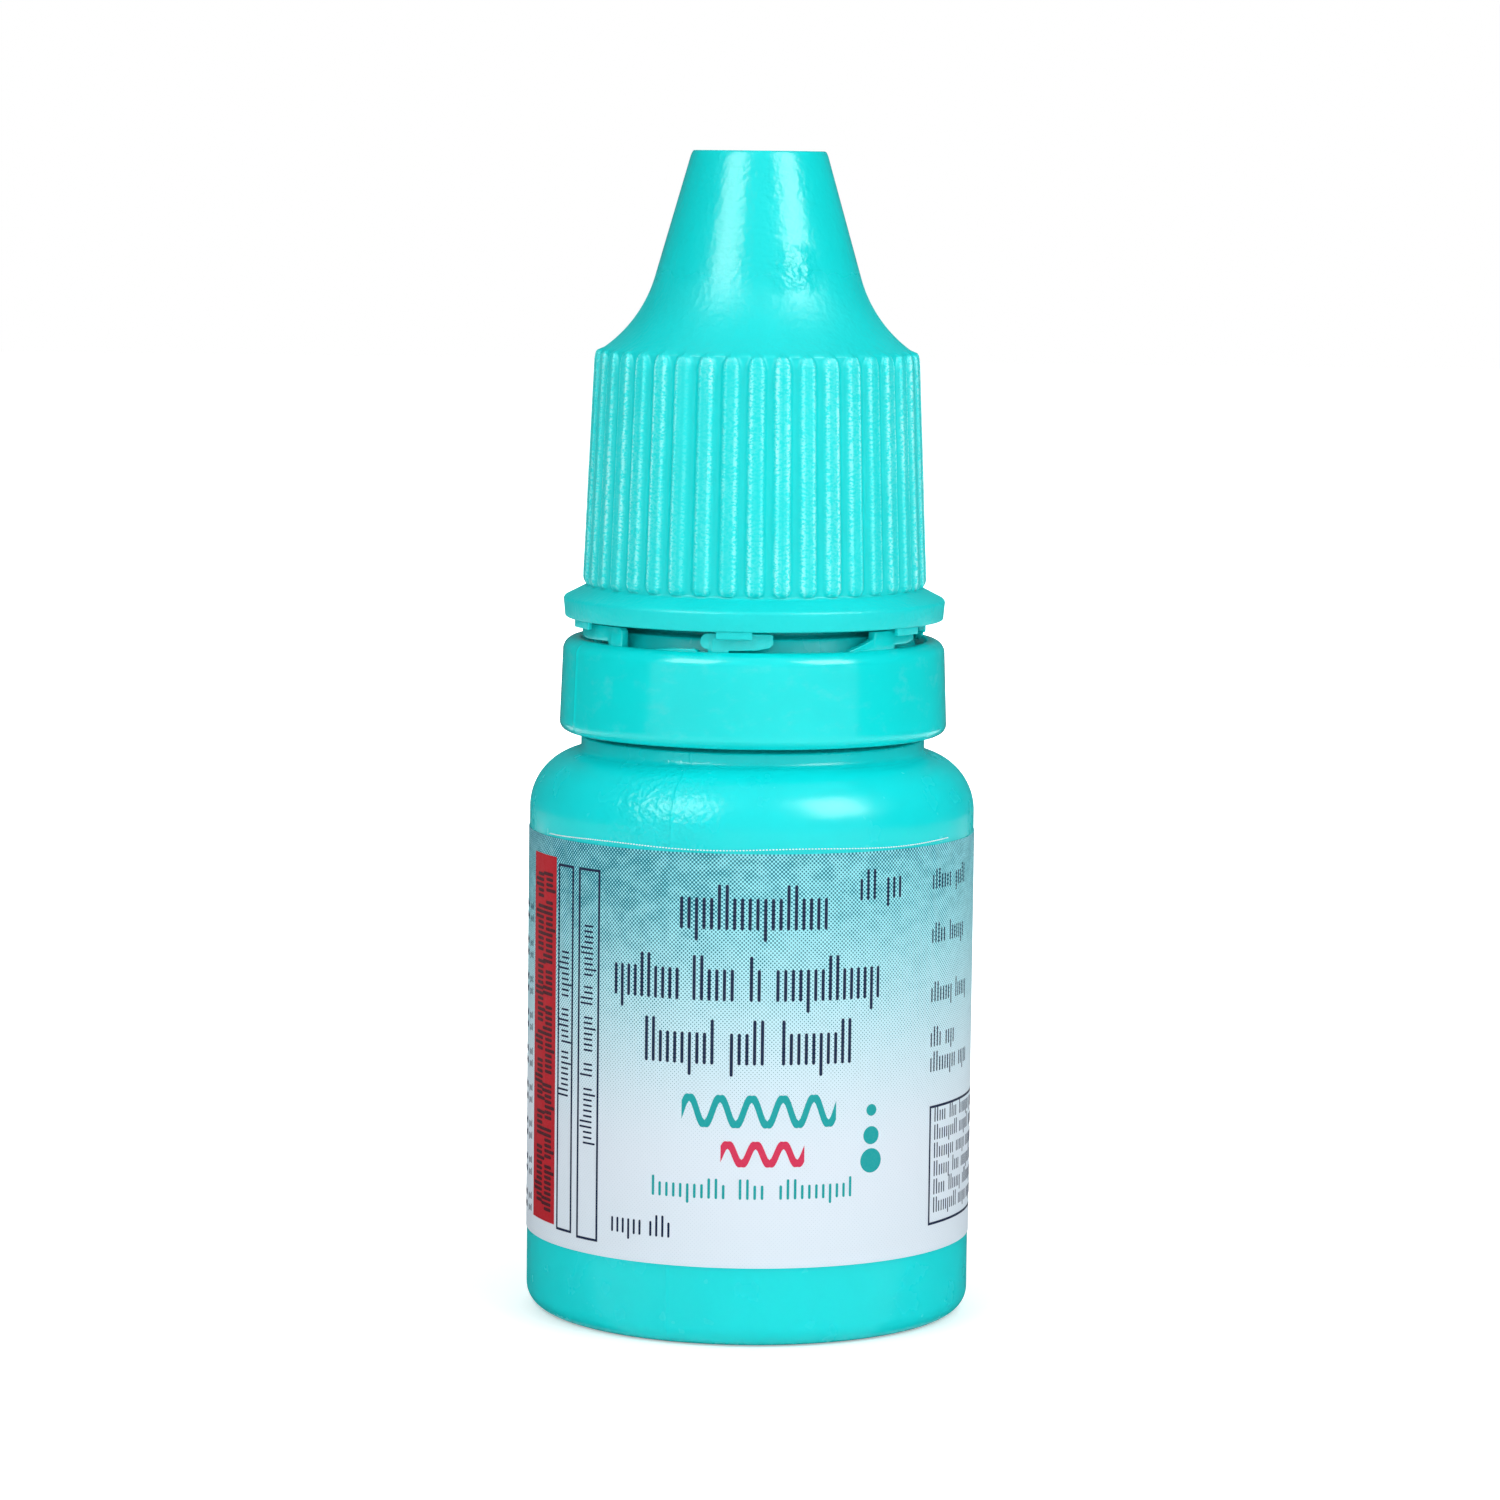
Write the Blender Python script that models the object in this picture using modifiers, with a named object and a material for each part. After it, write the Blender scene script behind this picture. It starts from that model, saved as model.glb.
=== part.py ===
"""Eye drop bottle: a hollow squeeze bottle, its drip nozzle, a ribbed screw cap, the seal ring and a label.

Metres, +Z up. The origin is the middle of the foot, and every piece is turned about the Z axis.
The front of the bottle faces -Y. Angles round the axis count from the front, anticlockwise from above.
"""

from math import atan, atan2, cos, pi, radians, sin, sqrt

import bmesh
import bpy
from mathutils import Matrix

# Clearances
SEAT_GAP = 0.0003
RUNNING_GAP = 0.00035
OVERRUN = 0.0004
MERGE = 0.000002

# Bottle body
BODY_DIAMETER = 0.0250
BODY_HEIGHT = 0.03165
BODY_WALL = 0.0010
SHOULDER_RADIUS = 0.0033
HEEL_RADIUS = 0.0012
FOOT_WIDTH = 0.0018
PUSH_UP = 0.0006
LABEL_BOTTOM_MARGIN = 0.0033
LABEL_TOP_MARGIN = 0.0011
LABEL_THICKNESS = 0.00012

# Bottle neck: each reach is how far one step stands out from the step inside it
NECK_BORE = 0.0114
NECK_WALL = 0.0016
NECK_HEIGHT = 0.01735
LIP_ROUND = 0.0003
LOWER_NECK_REACH = 0.00105
BEAD_REACH = 0.00095
BEAD_LAND = 0.0009
BEAD_TAPER_HEIGHT = 0.0024
BEAD_TAPER = 0.0004
COLLAR_REACH = 0.00035
COLLAR_HEIGHT = 0.00075
COLLAR_FILLET = 0.0004

# Seal ring
RING_HEIGHT = 0.00525
RING_WALL = 0.00107
RING_SPREAD = 0.00015
RING_RIM_ROUND = 0.00075
RING_FOOT_ROUND = 0.0003
LEDGE_HEIGHT = 0.0023
LEDGE_SLOPE_HEIGHT = 0.0005

# Broken bridges: ears on the ring, tabs under the cap
BRIDGE_COUNT = 6
BRIDGE_ANGLE = radians(-6)
EAR_WIDTH = 0.0038
EAR_HEIGHT = 0.0007
EAR_THICKNESS = 0.00045
EAR_SLIT = 0.00015
EAR_NECK_WIDTH = 0.0010
EAR_NECK_SHARE = 0.27
EAR_SINK_SHARE = 0.5
TAB_WIDTH = 0.0020
TAB_HEIGHT = 0.0004
TAB_THICKNESS = 0.00025

# Screw cap, outside: each skirt wall runs from the bore to the crests of the ribs
CAP_LIFT = 0.00115
FLANGE_REACH = 0.00105
FLANGE_HEIGHT = 0.00157
FLANGE_RISE = 0.00035
FLANGE_ROUND = 0.0005
FLANGE_DRAFT = 0.00008
SKIRT_BOTTOM_WALL = 0.0017
SKIRT_TOP_WALL = 0.00116
SKIRT_OVER_LIP = 0.00497
FLARE_HEIGHT = 0.00413
WAIST_DIAMETER = 0.0115
CROWN_DIAMETER = 0.0075
CROWN_ROUND = 0.00012

# Ribs
RIB_COUNT = 40
RIB_WIDTH_SHARE = 0.63
RIB_SINK_SHARE = 0.12
RIB_FOOT_SHARE = 0.6

# Screw cap, inside
THREAD_ROOM = 0.00065
CAP_WALL = 0.00115
CROWN_THICKNESS = 0.0012
TIP_ROOM = 0.0023
SEAT_LAND = 0.0007
UPPER_BORE_HEIGHT = 0.0026
UPPER_BORE_TAPER = 0.0002
PIN_DIAMETER = 0.0013
PIN_ROUND = 0.00025

# Drip nozzle
NOZZLE_FLANGE_INSET = 0.0004
NOZZLE_FLANGE_HEIGHT = 0.0008
NOZZLE_HEIGHT = 0.0115
STEM_DIAMETER = 0.0092
STEM_FILLET = 0.0006
TIP_DIAMETER = 0.0038
TIP_LENGTH = 0.0018
TIP_ROUND = 0.0006
WELL_DEPTH = 0.0009
ORIFICE_DIAMETER = 0.0005
ORIFICE_LENGTH = 0.0012
PLUG_LENGTH = 0.0068
PLUG_WALL = 0.0011
PLUG_RELIEF = 0.0002
PLUG_BEAD_HEIGHT = 0.0009
PLUG_BEAD_SHARES = (0.35, 0.8)
STEM_WALL = 0.0011

# Facets
BODY_STEPS = 48
RING_STEPS = 60
CAP_STEPS = 2 * RIB_COUNT
NOZZLE_STEPS = 32
RIB_STEPS = 12

# Heights and radii worked out from the sizes above
BODY_RADIUS = BODY_DIAMETER / 2
BORE_RADIUS = NECK_BORE / 2
NECK_RADIUS = BORE_RADIUS + NECK_WALL
LOWER_NECK_RADIUS = NECK_RADIUS + LOWER_NECK_REACH
BEAD_RADIUS = LOWER_NECK_RADIUS + BEAD_REACH
COLLAR_RADIUS = BEAD_RADIUS + COLLAR_REACH
LABEL_BOTTOM = HEEL_RADIUS + LABEL_BOTTOM_MARGIN
LABEL_TOP = BODY_HEIGHT - SHOULDER_RADIUS - LABEL_TOP_MARGIN
COLLAR_TOP = BODY_HEIGHT + COLLAR_HEIGHT
LIP_TOP = BODY_HEIGHT + NECK_HEIGHT
RING_BOTTOM = COLLAR_TOP + SEAT_GAP
RING_TOP = RING_BOTTOM + RING_HEIGHT
RING_BORE_RADIUS = BEAD_RADIUS + RUNNING_GAP
RING_RADIUS = RING_BORE_RADIUS + RING_WALL
RIM_CREST_RADIUS = RING_RADIUS - RING_RIM_ROUND
BEAD_BOTTOM = RING_BOTTOM + LEDGE_HEIGHT + SEAT_GAP
EAR_BOTTOM = RING_TOP + EAR_SLIT
NOZZLE_SEAT = LIP_TOP + SEAT_GAP
NOZZLE_FLANGE_RADIUS = NECK_RADIUS - NOZZLE_FLANGE_INSET
NOZZLE_FLANGE_TOP = NOZZLE_SEAT + NOZZLE_FLANGE_HEIGHT
NOZZLE_TOP = NOZZLE_FLANGE_TOP + NOZZLE_HEIGHT
WELL_RADIUS = PIN_DIAMETER / 2 + SEAT_GAP
WELL_BOTTOM = NOZZLE_TOP - WELL_DEPTH
CAP_BORE_RADIUS = NECK_RADIUS + THREAD_ROOM
SKIRT_BOTTOM_RADIUS = CAP_BORE_RADIUS + SKIRT_BOTTOM_WALL
SKIRT_TOP_RADIUS = CAP_BORE_RADIUS + SKIRT_TOP_WALL
FLANGE_RADIUS = SKIRT_BOTTOM_RADIUS + FLANGE_REACH
CAP_BOTTOM = RING_TOP + CAP_LIFT
SKIRT_BOTTOM = CAP_BOTTOM + FLANGE_HEIGHT
SKIRT_TOP = LIP_TOP + SKIRT_OVER_LIP
WAIST_LEVEL = SKIRT_TOP + FLARE_HEIGHT
INNER_CROWN = NOZZLE_TOP + TIP_ROOM
CAP_TOP = INNER_CROWN + CROWN_THICKNESS
RIB_RADIUS = RIB_WIDTH_SHARE * pi * SKIRT_TOP_RADIUS / RIB_COUNT
RIB_RISE = RIB_RADIUS * (1 - RIB_SINK_SHARE)
ROOT_BOTTOM_RADIUS = SKIRT_BOTTOM_RADIUS - RIB_RISE
ROOT_TOP_RADIUS = SKIRT_TOP_RADIUS - RIB_RISE


def arc(centre, radius, start, end, count):
    """Points (r, z) on an arc, from one angle to the other, both ends included."""
    turns = [start + (end - start) * step / count for step in range(count + 1)]
    return [(centre[0] + radius * cos(turn), centre[1] + radius * sin(turn)) for turn in turns]


def collection(name, helpers=False):
    made = bpy.data.collections.new(name)
    bpy.context.scene.collection.children.link(made)
    made.hide_render = helpers
    return made


def plastic(name, colour, roughness):
    """A moulded plastic with one colour and one roughness."""
    material = bpy.data.materials.new(name)
    material.use_nodes = True
    shader = material.node_tree.nodes["Principled BSDF"]
    shader.inputs["Base Color"].default_value = (*colour, 1)
    shader.inputs["Roughness"].default_value = roughness
    shader.inputs["Metallic"].default_value = 0
    material.diffuse_color = (*colour, 1)
    return material


def turned(name, outline, steps, home, material=None, closed=False):
    """A profile of (r, z) points, running down its outer side, turned about the axis.

    A closed profile makes a ring, and an open one starts and ends on the axis.
    """
    mesh = bpy.data.meshes.new(name)
    edges = [(index, index + 1) for index in range(len(outline) - 1)]
    if closed:
        edges.append((len(outline) - 1, 0))
    mesh.from_pydata([(r, 0, z) for r, z in outline], edges, [])
    piece = bpy.data.objects.new(name, mesh)
    home.objects.link(piece)
    screw = piece.modifiers.new("turn", "SCREW")
    screw.axis = "Z"
    screw.angle = 2 * pi
    screw.steps = steps
    screw.render_steps = steps
    screw.use_merge_vertices = True
    screw.merge_threshold = MERGE
    screw.use_smooth_shade = True
    if material:
        mesh.materials.append(material)
    return piece


def hide(helper):
    helper.hide_render = True
    helper.display_type = "WIRE"


def combine(piece, helper, operation):
    boolean = piece.modifiers.new(helper.name, "BOOLEAN")
    boolean.operation = operation
    boolean.solver = "EXACT"
    boolean.object = helper
    hide(helper)


def round_the_axis(angle):
    """The turn that takes the front of the bottle to an angle."""
    return Matrix.Rotation(angle, 4, "Z")


def blocks(name, angles, size, middle, home):
    """Boxes of one size (width, depth, height), each middle (side, r, z) as seen along its own angle."""
    shape = bmesh.new()
    for angle in angles:
        place = Matrix.Translation((middle[0], -middle[1], middle[2]))
        stretch = Matrix.Diagonal((*size, 1))
        bmesh.ops.create_cube(shape, size=1, matrix=round_the_axis(angle) @ place @ stretch)
    mesh = bpy.data.meshes.new(name)
    shape.to_mesh(mesh)
    shape.free()
    made = bpy.data.objects.new(name, mesh)
    home.objects.link(made)
    return made


def bridge_angles():
    return [BRIDGE_ANGLE + 2 * pi * index / BRIDGE_COUNT for index in range(BRIDGE_COUNT)]


def bottle(parts, material):
    """The squeeze bottle: pushed-up base, label panel, domed shoulder, collar, bead and neck, hollow inside."""
    panel_radius = BODY_RADIUS - LABEL_THICKNESS - SEAT_GAP
    panel_bottom = LABEL_BOTTOM - SEAT_GAP
    panel_top = LABEL_TOP + SEAT_GAP
    shoulder = (BODY_RADIUS - SHOULDER_RADIUS, BODY_HEIGHT - SHOULDER_RADIUS)
    fillet_foot = COLLAR_RADIUS + COLLAR_FILLET
    shoulder_reach = fillet_foot - shoulder[0]
    shoulder_rise = sqrt(SHOULDER_RADIUS**2 - shoulder_reach**2)
    shoulder_end = atan2(shoulder_rise, shoulder_reach)
    fillet = (fillet_foot, shoulder[1] + shoulder_rise + COLLAR_FILLET)
    heel = (BODY_RADIUS - HEEL_RADIUS, HEEL_RADIUS)
    bead_top = BEAD_BOTTOM + BEAD_LAND + BEAD_TAPER_HEIGHT
    inner_radius = panel_radius - BODY_WALL
    inner_corner = SHOULDER_RADIUS - BODY_WALL
    ceiling = BODY_HEIGHT - BODY_WALL
    floor = PUSH_UP + BODY_WALL
    outline = [(0, floor)]
    outline += arc((inner_radius - HEEL_RADIUS, floor + HEEL_RADIUS), HEEL_RADIUS, -pi / 2, 0, 3)
    outline += arc((inner_radius - inner_corner, ceiling - inner_corner), inner_corner, 0, pi / 2, 4)
    outline += [
        (BORE_RADIUS, ceiling),
        (BORE_RADIUS, LIP_TOP - LIP_ROUND),
        (BORE_RADIUS + LIP_ROUND, LIP_TOP),
        (NECK_RADIUS - LIP_ROUND, LIP_TOP),
        (NECK_RADIUS, LIP_TOP - LIP_ROUND),
        (NECK_RADIUS, bead_top),
        (BEAD_RADIUS - BEAD_TAPER, bead_top),
        (BEAD_RADIUS, BEAD_BOTTOM + BEAD_LAND),
        (BEAD_RADIUS, BEAD_BOTTOM),
        (LOWER_NECK_RADIUS, BEAD_BOTTOM),
        (LOWER_NECK_RADIUS, COLLAR_TOP),
        (COLLAR_RADIUS, COLLAR_TOP),
    ]
    outline += arc(fillet, COLLAR_FILLET, pi, 3 * pi / 2, 3)[:-1]
    outline += arc(shoulder, SHOULDER_RADIUS, shoulder_end, 0, 6)
    outline += [
        (BODY_RADIUS, panel_top),
        (panel_radius, panel_top),
        (panel_radius, panel_bottom),
        (BODY_RADIUS, panel_bottom),
    ]
    outline += arc(heel, HEEL_RADIUS, 0, -pi / 2, 4)
    outline += [(heel[0] - FOOT_WIDTH, 0), (heel[0] - FOOT_WIDTH - PUSH_UP, PUSH_UP), (0, PUSH_UP)]
    return turned("bottle", outline, BODY_STEPS, parts, material)


def label(parts, material):
    """The printed band, flush with the body in its shallow panel."""
    outline = [
        (BODY_RADIUS, LABEL_TOP),
        (BODY_RADIUS, LABEL_BOTTOM),
        (BODY_RADIUS - LABEL_THICKNESS, LABEL_BOTTOM),
        (BODY_RADIUS - LABEL_THICKNESS, LABEL_TOP),
    ]
    return turned("label", outline, BODY_STEPS, parts, material, closed=True)


def dropper_nozzle(parts, material):
    """The drip plug: two beads that grip the neck's bore, a flange on the lip, a stem and a tip with its well."""
    bead_radius = BORE_RADIUS - SEAT_GAP
    plug_radius = bead_radius - PLUG_RELIEF
    plug_bottom = NOZZLE_SEAT - PLUG_LENGTH
    plug_bore = plug_radius - PLUG_WALL
    stem_radius = STEM_DIAMETER / 2
    tip_radius = TIP_DIAMETER / 2
    tip_base = NOZZLE_TOP - TIP_LENGTH
    outline = [(ORIFICE_DIAMETER / 2, WELL_BOTTOM), (WELL_RADIUS, WELL_BOTTOM), (WELL_RADIUS, NOZZLE_TOP)]
    outline += arc((tip_radius - TIP_ROUND, NOZZLE_TOP - TIP_ROUND), TIP_ROUND, pi / 2, 0, 3)
    outline += [
        (tip_radius, tip_base),
        (stem_radius, NOZZLE_FLANGE_TOP + STEM_FILLET),
        (stem_radius + STEM_FILLET, NOZZLE_FLANGE_TOP),
        (NOZZLE_FLANGE_RADIUS, NOZZLE_FLANGE_TOP),
        (NOZZLE_FLANGE_RADIUS, NOZZLE_SEAT),
        (plug_radius, NOZZLE_SEAT),
    ]
    for share in PLUG_BEAD_SHARES:
        bead_middle = NOZZLE_SEAT - PLUG_LENGTH * share
        outline += [
            (plug_radius, bead_middle + PLUG_BEAD_HEIGHT / 2),
            (bead_radius, bead_middle),
            (plug_radius, bead_middle - PLUG_BEAD_HEIGHT / 2),
        ]
    outline += [
        (plug_radius - PLUG_RELIEF, plug_bottom),
        (plug_bore, plug_bottom),
        (plug_bore, NOZZLE_SEAT),
        (stem_radius - STEM_WALL, NOZZLE_FLANGE_TOP + STEM_FILLET),
        (ORIFICE_DIAMETER / 2, WELL_BOTTOM - ORIFICE_LENGTH),
    ]
    return turned("dropper_nozzle", outline, NOZZLE_STEPS, parts, material, closed=True)


def tamper_ring(parts, helpers, material):
    """The seal ring: a rounded rim, a ledge that hooks under the neck's bead, and the ears of the broken bridges."""
    ledge = LOWER_NECK_RADIUS + RUNNING_GAP
    foot_radius = RING_RADIUS + RING_SPREAD
    ledge_top = RING_BOTTOM + LEDGE_HEIGHT
    outline = [(RING_BORE_RADIUS, RING_TOP)]
    outline += arc((RIM_CREST_RADIUS, RING_TOP - RING_RIM_ROUND), RING_RIM_ROUND, pi / 2, 0, 4)
    outline += arc((foot_radius - RING_FOOT_ROUND, RING_BOTTOM + RING_FOOT_ROUND), RING_FOOT_ROUND, 0, -pi / 2, 2)
    outline += [
        (ledge + LEDGE_SLOPE_HEIGHT, RING_BOTTOM),
        (ledge, RING_BOTTOM + LEDGE_SLOPE_HEIGHT),
        (ledge, ledge_top),
        (RING_BORE_RADIUS, ledge_top),
    ]
    ring = turned("tamper_ring", outline, RING_STEPS, parts, material, closed=True)
    band_outline = [
        (RIM_CREST_RADIUS, EAR_BOTTOM + EAR_HEIGHT),
        (RIM_CREST_RADIUS, EAR_BOTTOM),
        (RIM_CREST_RADIUS - EAR_THICKNESS, EAR_BOTTOM),
        (RIM_CREST_RADIUS - EAR_THICKNESS, EAR_BOTTOM + EAR_HEIGHT),
    ]
    band = turned("ear_band", band_outline, RING_STEPS, helpers, closed=True)
    middle = (0, RIM_CREST_RADIUS, EAR_BOTTOM + EAR_HEIGHT / 2)
    size = (EAR_WIDTH, EAR_WIDTH, EAR_HEIGHT + 2 * OVERRUN)
    combine(band, blocks("ear_lengths", bridge_angles(), size, middle, helpers), "INTERSECT")
    side = EAR_WIDTH * (EAR_NECK_SHARE - 1 / 2)
    depth = (RIM_CREST_RADIUS - RING_BORE_RADIUS) * EAR_SINK_SHARE
    height = EAR_SLIT + 2 * OVERRUN * EAR_SINK_SHARE
    middle = (side, (RIM_CREST_RADIUS + RING_BORE_RADIUS) / 2, RING_TOP + EAR_SLIT / 2)
    necks = blocks("ear_necks", bridge_angles(), (EAR_NECK_WIDTH, depth, height), middle, helpers)
    combine(ring, band, "UNION")
    combine(ring, necks, "UNION")
    return ring


def flare():
    """The concave sweep from the cap's waist out to its shoulder, tangent to the cone above it."""
    waist = (WAIST_DIAMETER / 2, WAIST_LEVEL)
    slope = atan((WAIST_DIAMETER - CROWN_DIAMETER) / (2 * (CAP_TOP - WAIST_LEVEL)))
    out = ROOT_TOP_RADIUS - waist[0]
    end = 2 * atan2(out, FLARE_HEIGHT) - slope
    radius = out / (cos(slope) - cos(end))
    centre = (waist[0] + radius * cos(slope), waist[1] + radius * sin(slope))
    return arc(centre, radius, pi + slope, pi + end, 6)


def rib_rods(helpers):
    """One rib is a rod with a domed top, leaning with the skirt's draft. A loop sets the rest round the skirt."""
    skirt_height = SKIRT_TOP - SKIRT_BOTTOM
    lean = atan((ROOT_BOTTOM_RADIUS - ROOT_TOP_RADIUS) / skirt_height)
    foot = -FLANGE_HEIGHT * RIB_FOOT_SHARE
    length = skirt_height / cos(lean) - RIB_RADIUS * RIB_SINK_SHARE
    outline = arc((0, length - RIB_RADIUS), RIB_RADIUS, pi / 2, 0, 3)
    outline[0] = (0, length)
    outline += [(RIB_RADIUS, foot), (0, foot)]
    rod = turned("rib_rod", outline, RIB_STEPS, helpers)
    hide(rod)
    graph = bpy.context.evaluated_depsgraph_get()
    one = bpy.data.meshes.new_from_object(rod.evaluated_get(graph))
    bpy.data.objects.remove(rod)
    shape = bmesh.new()
    inset = RIB_RADIUS * RIB_SINK_SHARE
    stand = Matrix.Translation((0, inset - ROOT_BOTTOM_RADIUS, SKIRT_BOTTOM)) @ Matrix.Rotation(-lean, 4, "X")
    for index in range(RIB_COUNT):
        fresh = len(shape.verts)
        shape.from_mesh(one)
        shape.verts.ensure_lookup_table()
        place = round_the_axis(2 * pi * index / RIB_COUNT) @ stand
        bmesh.ops.transform(shape, matrix=place, verts=shape.verts[fresh:])
    mesh = bpy.data.meshes.new("ribs")
    shape.to_mesh(mesh)
    shape.free()
    ribs = bpy.data.objects.new("ribs", mesh)
    helpers.objects.link(ribs)
    return ribs


def screw_cap(parts, helpers, material):
    """The ribbed cap: a flat crown, a cone, a flared shoulder and a flange outside, with its bore and pin inside."""
    crown_radius = CROWN_DIAMETER / 2
    land_bottom = NOZZLE_FLANGE_TOP + SEAT_GAP
    land_radius = NOZZLE_FLANGE_RADIUS - SEAT_LAND
    pin_radius = PIN_DIAMETER / 2
    pin_bottom = WELL_BOTTOM + SEAT_GAP
    round_middle = (FLANGE_RADIUS - FLANGE_ROUND, SKIRT_BOTTOM - FLANGE_RISE - FLANGE_ROUND)
    outline = [
        (0, CAP_TOP),
        (crown_radius - CROWN_ROUND, CAP_TOP),
        (crown_radius, CAP_TOP - CROWN_ROUND),
    ]
    outline += flare()
    outline += [(ROOT_BOTTOM_RADIUS, SKIRT_BOTTOM)]
    outline += arc(round_middle, FLANGE_ROUND, pi / 2, 0, 3)
    outline += [
        (FLANGE_RADIUS - FLANGE_DRAFT, CAP_BOTTOM),
        (CAP_BORE_RADIUS, CAP_BOTTOM),
        (CAP_BORE_RADIUS, land_bottom),
        (land_radius, land_bottom),
        (land_radius - UPPER_BORE_TAPER, land_bottom + UPPER_BORE_HEIGHT),
        (WAIST_DIAMETER / 2 - CAP_WALL, WAIST_LEVEL),
        (crown_radius - CAP_WALL, INNER_CROWN),
        (pin_radius, INNER_CROWN),
        (pin_radius, pin_bottom + PIN_ROUND),
        (pin_radius - PIN_ROUND, pin_bottom),
        (0, pin_bottom),
    ]
    cap = turned("screw_cap", outline, CAP_STEPS, parts, material)
    combine(cap, rib_rods(helpers), "UNION")
    tab_middle = RIM_CREST_RADIUS + SEAT_GAP + TAB_THICKNESS / 2
    rise = TAB_HEIGHT + OVERRUN
    tabs = blocks(
        "tabs",
        bridge_angles(),
        (TAB_WIDTH, TAB_THICKNESS, rise),
        (0, tab_middle, CAP_BOTTOM - TAB_HEIGHT + rise / 2),
        helpers,
    )
    combine(cap, tabs, "UNION")
    return cap


def main():
    for item in list(bpy.data.objects):
        bpy.data.objects.remove(item)
    parts = collection("eye_drop_bottle")
    helpers = collection("helpers", helpers=True)
    squeeze_plastic = plastic("squeeze_plastic", (0.02, 0.62, 0.64), 0.38)
    cap_plastic = plastic("cap_plastic", (0.02, 0.76, 0.76), 0.3)
    nozzle_plastic = plastic("nozzle_plastic", (0.72, 0.84, 0.86), 0.35)
    label_film = plastic("label_film", (0.72, 0.82, 0.88), 0.42)
    stand = bpy.data.objects.new("bottle_axis", None)
    parts.objects.link(stand)
    pieces = [
        bottle(parts, squeeze_plastic),
        label(parts, label_film),
        dropper_nozzle(parts, nozzle_plastic),
        tamper_ring(parts, helpers, cap_plastic),
        screw_cap(parts, helpers, cap_plastic),
    ]
    for piece in pieces:
        piece.parent = stand


main()
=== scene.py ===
"""Looks of the eye drop bottle: squeeze bottle, label, drip nozzle, seal ring and ribbed screw cap.

Metres, +Z up. The front of the bottle faces -Y. Angles round the axis count from the front towards +X,
and arcs on the label are those angles times its radius.
"""

from math import atan, atan2, cos, pi, radians, sin, sqrt

import bpy
import numpy as np
from bpy.props import FloatProperty, FloatVectorProperty, IntProperty, PointerProperty
from bpy.types import Operator, Panel, PropertyGroup
from mathutils import Matrix, Vector, noise


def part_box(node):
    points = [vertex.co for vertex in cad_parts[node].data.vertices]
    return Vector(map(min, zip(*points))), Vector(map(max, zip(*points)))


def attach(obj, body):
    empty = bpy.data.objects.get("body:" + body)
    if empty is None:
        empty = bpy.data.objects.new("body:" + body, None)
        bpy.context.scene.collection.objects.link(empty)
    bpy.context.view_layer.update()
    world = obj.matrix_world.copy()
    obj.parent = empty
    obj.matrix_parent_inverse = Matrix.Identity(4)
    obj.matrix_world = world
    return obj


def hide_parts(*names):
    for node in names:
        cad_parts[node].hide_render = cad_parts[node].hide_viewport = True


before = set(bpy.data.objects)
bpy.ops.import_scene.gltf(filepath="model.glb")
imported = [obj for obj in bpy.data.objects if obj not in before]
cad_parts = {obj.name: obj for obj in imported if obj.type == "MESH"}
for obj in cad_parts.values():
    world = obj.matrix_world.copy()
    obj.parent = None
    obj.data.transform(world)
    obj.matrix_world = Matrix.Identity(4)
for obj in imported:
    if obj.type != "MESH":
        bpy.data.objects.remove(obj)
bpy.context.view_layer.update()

bl_info = {
    "name": "Eye drop bottle",
    "version": (1, 0, 0),
    "blender": (4, 5, 0),
    "location": "View3D > Sidebar > Eye drops",
    "description": "Moulds, prints and lights a small squeeze bottle for eye drops",
    "category": "Object",
}

BOTTLE_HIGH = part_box("bottle")[1]
LABEL_LOW, LABEL_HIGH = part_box("label")
NOZZLE_LOW, NOZZLE_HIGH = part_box("dropper_nozzle")
RING_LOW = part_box("tamper_ring")[0]
CAP_LOW, CAP_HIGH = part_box("screw_cap")

MILLIMETRE = 0.001
ON_AXIS = 0.0000001
FULL_TURN = 2 * pi

# Bottle
SHOULDER_RADIUS = 0.0033
BODY_HEIGHT = 0.03165
WALL = 0.0014
PUSH_UP = 0.0006
FOOT_WIDTH = 0.0018
COLLAR_RADIUS = 0.00965
COLLAR_TOP = 0.0324
COLLAR_FILLET = 0.0004
COLLAR_ROUND = 0.00012
LOWER_NECK_RADIUS = 0.00835
BEAD_RADIUS = 0.0093
BEAD_BOTTOM = 0.0353
BEAD_LAND = 0.0009
BEAD_TOP = 0.0386
BEAD_TAPER = 0.0004
NECK_RADIUS = 0.0073
NECK_BORE_RADIUS = 0.0057
LIP_ROUND = 0.0003
BODY_COLUMNS = 192
PARTING_WIDTH = 0.00012
WALL_START = 0.0006

# Threads on the neck and in the cap
THREAD_PITCH = 0.0030
THREAD_START = 0.0412
THREAD_TURNS = 1.6
THREAD_WIDTH = 0.0011
NECK_THREAD_HEIGHT = 0.0003
CAP_THREAD_HEIGHT = 0.00024
THREAD_FADE = radians(28)
THREAD_CREST = 1.7

# Seal ring
RING_WALL_RADIUS = 0.01072
RING_SPREAD = 0.00015
RING_TOP = 0.03795
RING_RIM_ROUND = 0.00075
RING_FOOT_ROUND = 0.0005
RING_BORE_RADIUS = 0.00965
RING_LEDGE_RADIUS = 0.0087
RING_LEDGE_TOP = 0.0350
RING_LEDGE_SLOPE = 0.0005
RING_INNER_ROUND = 0.0001
RING_WALL_START = 1.1
RING_RIM_STEPS = 12
RING_COLUMNS = 240
WITNESS_ANGLE = radians(-66)
WITNESS_HEIGHT = 0.00006

# Ears of the broken bridges on the ring
EAR_INNER_RADIUS = 0.00952
EAR_OUTER_RADIUS = 0.00999
EAR_COUNT = 6
EAR_ANGLE = radians(-6)
EAR_STEP = 0.0003
EAR_ROUND = 0.00007

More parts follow.
